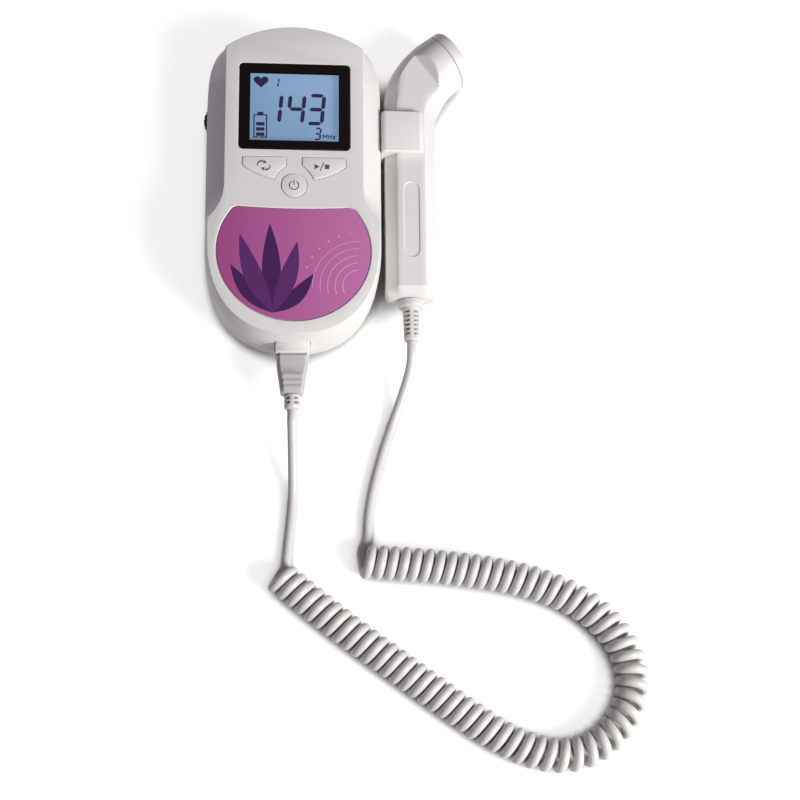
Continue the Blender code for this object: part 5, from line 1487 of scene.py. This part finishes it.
@dataclass(frozen=True)
class ProbeShape:
    """Rings of the bent-head probe, from the same values as the solid model's."""

    x: float = 48.0 * MM
    height: float = 13.3 * MM
    end: float = -45.4 * MM
    end_half_width: float = 10.3 * MM
    half_width: float = 10.6 * MM
    half_depth: float = 9.5 * MM
    flat_share: float = 0.5
    bend_y: float = 49.5 * MM
    head_angle: float = math.radians(36.3)
    head_length: float = 24.3 * MM
    head_radius: float = 12.5 * MM
    cap_length: float = 5.2 * MM
    bend_radius: float = 34.0 * MM
    flat_end: float = 7.65 * MM
    flat_rise: float = 0.83
    chamfer: float = 3.4 * MM

    END = ((0.0, 0.80, 0.56), (0.06, 0.86, 0.62), (0.25, 0.95, 0.74), (0.6, 0.99, 0.9), (1.0, 1.0, 1.0))
    BEND_STEPS = 84
    SIDES = 22

    @property
    def direction(self) -> Vector:
        """Heading of the head's axis."""
        return Vector((math.cos(self.head_angle), math.sin(self.head_angle), 0.0))

    @property
    def turn(self) -> float:
        """Angle of the bend."""
        return math.pi / 2 - self.head_angle

    @property
    def reach(self) -> float:
        """Distance from the bend's corner to where it ends."""
        return self.bend_radius * math.tan(self.turn / 2)

    def head_point(self, reach: float) -> Vector:
        """Point on the head's axis, at a reach past the bend's corner."""
        return Vector((self.x, self.bend_y, self.height)) + self.direction * reach

    def section(self) -> list[tuple[float, float, float]]:
        """Right upper quarter of the handle's section with eased edges: two shares and an angle."""
        flat = self.flat_share
        slope = (1 + flat) / 2
        soft = 0.07
        corners = [
            (1, 0), (1, flat / 2), (1, flat - soft), (1 - soft / 3, flat + soft / 2), (1 - soft, flat + soft * 1.1),
            (slope, slope), (flat + soft * 1.1, 1 - soft), (flat + soft / 2, 1 - soft / 3), (flat - soft, 1),
            (flat / 2, 1), (0, 1),
        ]
        fine = []
        for (a, b), (c, d) in zip(corners, corners[1:]):
            fine += [(mix(a, c, k / 2), mix(b, d, k / 2)) for k in range(2)]
        fine.append(corners[-1])
        last = len(fine) - 1
        return [(u, v, math.pi / 2 * i / last) for i, (u, v) in enumerate(fine)]

    def ring(self, centre: Vector, heading: Vector, half_width: float, half_depth: float, roundness: float, half: int) -> list[Vector]:
        """Ring across the probe's axis, above (1) or below (-1) the seam, or whole (0)."""
        side = Vector((heading.y, -heading.x, 0.0))
        corner = Vector((self.x, self.bend_y, self.height))
        quarters = []
        for sign in (1, -1):
            quarter = []
            for u, v, angle in self.section():
                across = sign * mix(u, math.cos(angle), roundness) * half_width
                reach = (centre + side * across - corner).dot(self.direction)
                limit = half_depth + self.flat_rise * max(reach - self.flat_end, 0.0)
                rounded = min(half_width * math.sin(angle), limit)
                quarter.append((across, mix(v * half_depth, rounded, roundness)))
            quarters.append(quarter)
        upper = quarters[0] + quarters[1][-2::-1]
        if half:
            seam = 0.1 * MM
            arch = [(half_width - 0.12 * MM, seam), (half_width, seam + 0.15 * MM), *upper[1:-1],
                    (-half_width, seam + 0.15 * MM), (-half_width + 0.12 * MM, seam)]
            outline = [(x, z * half) for x, z in arch]
        else:
            outline = upper + [(x, -z) for x, z in reversed(upper[1:-1])]
        return [centre + side * x + Vector((0.0, 0.0, z)) for x, z in outline]

    def housing(self, half: int) -> list[list[Vector]]:
        """Rings of half the housing, from the handle's end to the cap's seam."""
        rings = []
        up = Vector((0.0, 1.0, 0.0))
        for share, width, depth in self.END:
            centre = Vector((self.x, self.end + self.chamfer * share, self.height))
            rings.append(self.ring(centre, up, self.end_half_width * width, self.half_depth * depth, 0.0, half))
        pivot = Vector((self.x + self.bend_radius, self.bend_y - self.reach, self.height))
        for i in range(self.BEND_STEPS + 1):
            share = i / self.BEND_STEPS
            turn = self.turn * share
            out = Vector((-math.cos(turn), math.sin(turn), 0.0))
            heading = Vector((math.sin(turn), math.cos(turn), 0.0))
            width = mix(self.half_width, self.head_radius, ease(share / 0.5))
            roundness = ease((share - 0.12) / 0.5)
            rings.append(self.ring(pivot + out * self.bend_radius, heading, width, self.half_depth, roundness, half))
        start = self.head_length - self.cap_length
        for reach, inset in ((start - 0.3 * MM, 0.0), (start - 0.12 * MM, 0.18 * MM)):
            radius = self.head_radius - inset
            rings.append(self.ring(self.head_point(reach), self.direction, radius, self.half_depth, 1.0, half))
        return rings


@dataclass
class Probe:
    """Skins of the probe: two housing halves with a bare name recess, cap and strain relief."""

    shape: ProbeShape

    def housings(self, finishes: Finishes) -> None:
        """Build both halves of the housing."""
        shape = self.shape
        for name, node, half in (("probe_front_moulding", "probe_front", 1), ("probe_rear_moulding", "probe_rear", -1)):
            piece = Bench.loft(name, shape.housing(half), finishes.probe_white)
            if half > 0:
                face = shape.height + shape.half_depth
                low, high, radius = -29.6 * MM, 2.8 * MM, 3.1 * MM
                pill = []
                for centre_y, start in ((high - radius, 0.0), (low + radius, math.pi)):
                    for k in range(25):
                        turn = start + math.pi * k / 24
                        pill.append((shape.x + radius * math.cos(turn), centre_y + radius * math.sin(turn)))
                lip = 0.22 * MM
                stations = ((face - 0.4 * MM, pill), (face - lip, pill), (face, offset(pill, lip)), (face + lip, offset(pill, 2 * lip)))
                recess = Bench.loft("name_recess", [[(x, y, z) for x, y in ring] for z, ring in stations])
                Bench.combine(piece, [recess], Operation.CUT)
            shade(piece, 24.0)
            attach(piece, Body.PROBE.value)
            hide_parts(node)

    def cap(self, finishes: Finishes) -> None:
        """Build the cap with its rounded rim and slightly crowned sensing face."""
        shape = self.shape
        start = shape.head_length - shape.cap_length
        profile = [(start + 0.12 * MM, shape.head_radius - 0.18 * MM), (start + 0.3 * MM, shape.head_radius)]
        rim = 1.3 * MM
        for k in range(9):
            turn = math.pi / 2 * k / 8
            reach = shape.head_length - 0.25 * MM - rim + rim * math.sin(turn)
            profile.append((reach, shape.head_radius - rim + rim * math.cos(turn)))
        for share in (0.75, 0.5, 0.25, 0.04):
            radius = (shape.head_radius - rim) * share
            profile.append((shape.head_length - 0.25 * MM * share**2, radius))
        place = shape.head_point(0.0)
        cap = Bench.revolve("probe_end_cap", profile, place, shape.direction, finishes.probe_white)
        shade(cap, 30.0)
        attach(cap, Body.PROBE.value)
        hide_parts("probe_cap")

    def build(self, finishes: Finishes) -> None:
        """Build the probe's skins."""
        self.housings(finishes)
        self.cap(finishes)
        collar = [(0.0, 5.0 * MM), (0.25 * MM, 5.25 * MM), (1.4 * MM, 5.2 * MM), (2.6 * MM, 5.05 * MM), (2.9 * MM, 4.8 * MM),
                  (3.0 * MM, 3.62 * MM), (3.3 * MM, 3.5 * MM), (16.3 * MM, 3.0 * MM), (16.75 * MM, 2.8 * MM), (16.9 * MM, 2.5 * MM)]
        relief = StrainRelief("probe_relief", "probe_boot", Body.PROBE, (48.0 * MM, -45.7 * MM, 13.3 * MM), collar, 5.0 * MM, 6)
        relief.build(finishes)


@dataclass
class StrainRelief:
    """Strain relief with a ladder of slots beside its front and back spines, and a dark rod inside that paints the
    shade deep in the slots.
    """

    name: str
    node: str
    body: Body
    place: tuple[float, float, float]
    profile: list[Point]
    first: float
    rows: int
    pitch: float = 1.85 * MM
    slot: float = 0.9 * MM
    spine: float = 0.8 * MM
    core: float = 2.0 * MM

    def build(self, finishes: Finishes) -> None:
        """Build the strain relief in place of its node."""
        relief = Bench.revolve(self.name, self.profile, self.place, (0, -1, 0), finishes.jacket, 64)
        x, y, z = self.place
        reach = 6.0 * MM
        tools = []
        for i in range(self.rows):
            middle = y - self.first - self.pitch * i
            for side in (-1, 1):
                near, far = sorted((x + side * self.spine, x + side * reach))
                low = (near, middle - self.slot / 2, z - reach)
                high = (far, middle + self.slot / 2, z + reach)
                tool = Bench.block(f"{self.name}_slot_{i}_{side}", low, high)
                tools.append(Bench.round_edges(tool, 0.25 * MM, 2))
        Bench.combine(relief, tools, Operation.CUT)
        # Painted shade: a near-black rod behind the slots stands for the shade deep inside them.
        start = (x, y - self.first + self.pitch / 2, z)
        length = self.pitch * self.rows
        core = Bench.revolve(self.name + "_core", [(0.0, self.core), (length, self.core)], start, (0, -1, 0), finishes.slot_shade, 48)
        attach(core, self.body.value)
        shade(relief, 35.0)
        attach(relief, self.body.value)
        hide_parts(self.node)


@dataclass
class Clip:
    """Side clip: a pad and two arms round the probe, on two tongues, with every edge rounded."""

    low_y: float = 15.0 * MM
    high_y: float = 33.0 * MM

    def outline(self) -> list[Point]:
        """Section of the clip in X and height over the probe's axis."""
        inner, outer, half, arm, reach = 37.1 * MM, 35.8 * MM, 9.8 * MM, 2.6 * MM, 52.9 * MM
        upper = [(inner, 4.75 * MM), (42.55 * MM, half), (reach, half), (reach, half + arm * 0.4), (reach - arm * 0.6, half + arm)]
        corner = 2.0 * MM
        for k in range(9):
            turn = math.pi / 2 * (1 + k / 8)
            upper.append((outer + corner + corner * math.cos(turn), half + arm - corner + corner * math.sin(turn)))
        return upper + [(x, -z) for x, z in reversed(upper)]

    def build(self, finishes: Finishes) -> None:
        """Build the clip in place of its node."""
        rings = [[(x, y, 13.3 * MM + z) for x, z in self.outline()] for y in (self.low_y, self.high_y)]
        clip = Bench.loft("clip_moulding", rings, finishes.white)
        Bench.round_edges(clip, 0.55 * MM, 4, 25.0)
        tongues = []
        for i, y in enumerate((19.5 * MM, 28.5 * MM)):
            low, high = (32.6 * MM, y - 2.5 * MM, 17.05 * MM), (36.8 * MM, y + 2.5 * MM, 19.45 * MM)
            tongues.append(Bench.block(f"tongue_{i}", low, high))
        Bench.combine(clip, tongues, Operation.JOIN)
        shade(clip, 30.0)
        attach(clip, Body.MONITOR.value)
        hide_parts("probe_clip")


@dataclass
class Plug:
    """Skins of the plug's tapered grip with raised ribs, its strain relief, and the socket."""

    top: float = -71.4 * MM
    length: float = 15.4 * MM
    height: float = 17.0 * MM

    STATIONS = ((0.0, 6.0, 4.8), (0.25, 6.2, 5.0), (3.9, 6.15, 4.95), (9.0, 5.4, 4.5), (13.2, 4.8, 4.1), (14.5, 4.65, 4.0), (15.1, 4.3, 3.8), (15.4, 3.7, 3.3))

    def ring(self, reach: float, half_width: float, half_height: float) -> list[tuple[float, float, float]]:
        """Ring of a rectangle with round corners across the grip."""
        cut, corner = 1.25 * MM, 0.5 * MM
        x, z = half_width * MM, half_height * MM
        outline = rounded_polygon([
            (x, -z + cut, corner), (x, z - cut, corner), (x - cut, z, corner), (-x + cut, z, corner),
            (-x, z - cut, corner), (-x, -z + cut, corner), (-x + cut, -z, corner), (x - cut, -z, corner),
        ], 4)
        y = self.top - reach * MM
        return [(a, y, self.height + b) for a, b in outline]

    def rib(self, reach: float) -> bpy.types.Object:
        """Raised rib with round ends across the grip's front and back."""
        share = reach / 15.4
        half_width = (mix(6.2, 4.6, share) - 1.2) * MM
        half_height = (mix(5.0, 4.0, share) + 0.40) * MM
        y = self.top - reach * MM
        outline = rounded_polygon([
            (half_width, y - 0.7 * MM, 0.62 * MM), (half_width, y + 0.7 * MM, 0.62 * MM),
            (-half_width, y + 0.7 * MM, 0.62 * MM), (-half_width, y - 0.7 * MM, 0.62 * MM),
        ], 6)
        rib = Bench.prism(f"rib_{reach:.0f}", outline, self.height - half_height, self.height + half_height)
        return Bench.round_edges(rib, 0.4 * MM, 4, 50.0)

    def socket(self, finishes: Finishes) -> None:
        """Build the socket in the case's end."""
        socket = Bench.block("socket_moulding", (-6.8 * MM, -70.8 * MM, 10.7 * MM), (6.8 * MM, -60.4 * MM, 23.3 * MM))
        socket.data.materials.append(finishes.white)
        Bench.round_edges(socket, 0.45 * MM, 3)
        space = Bench.block("socket_space", (-5.4 * MM, -72.0 * MM, 12.1 * MM), (5.4 * MM, -61.1 * MM, 21.9 * MM))
        Bench.combine(socket, [space], Operation.CUT)
        shade(socket, 30.0)
        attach(socket, Body.MONITOR.value)
        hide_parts("probe_socket")

    def build(self, finishes: Finishes) -> None:
        """Build the grip, the strain relief and the socket."""
        grip = Bench.loft("plug_moulding", [self.ring(*station) for station in self.STATIONS], finishes.grip)
        Bench.combine(grip, [self.rib(reach) for reach in (8.4, 10.75, 13.1)], Operation.JOIN)
        shade(grip, 32.0)
        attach(grip, Body.PLUG.value)
        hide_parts("plug_grip")
        profile = [(0.0, 3.15 * MM), (0.3 * MM, 3.2 * MM), (4.4 * MM, 3.2 * MM), (5.2 * MM, 3.0 * MM), (5.65 * MM, 2.6 * MM), (5.8 * MM, 2.2 * MM)]
        place = (0.0, -87.1 * MM, 17.0 * MM)
        StrainRelief("plug_relief", "plug_boot", Body.PLUG, place, profile, 1.5 * MM, 2).build(finishes)
        self.socket(finishes)


def dress_nodes(finishes: Finishes) -> None:
    """Give each CAD node that stays its finish.

    Args:
        finishes: The object's finishes.
    """
    slots = {entry["node"]: entry["material_slot"] for entry in frame["record"]["subparts"]}
    choice = {
        "white_plastic": finishes.white,
        "grey_rubber": finishes.jacket,
        "grey_plastic": finishes.grip,
        "black_plastic": finishes.black,
        "screw_steel": finishes.steel,
        "board": finishes.board,
        "cell_can": finishes.cell,
        "piezo_ceramic": finishes.ceramic,
        "window": finishes.window,
        "display_glass": finishes.backlight,
        "label_film": finishes.label,
    }
    for name, node in frame["nodes"].items():
        finish = choice.get(slots[name])
        if finish is not None:
            node.data.materials.clear()
            node.data.materials.append(finish)


def main() -> None:
    """Build the studio and dress the object, piece by piece."""
    logging.basicConfig(level=logging.INFO, format="%(name)s: %(message)s")
    Viewpoint().build()
    Studio().build()
    finishes = Finishes()
    shape = CaseShape()
    FrontShell(shape).build(finishes)
    Display(shape).build(finishes)
    Keys().build(finishes)
    Label().build(finishes)
    Clip().build(finishes)
    Probe(ProbeShape()).build(finishes)
    Plug().build(finishes)
    CurlyCord().build(finishes)
    dress_nodes(finishes)


if __name__ == "__main__":
    main()
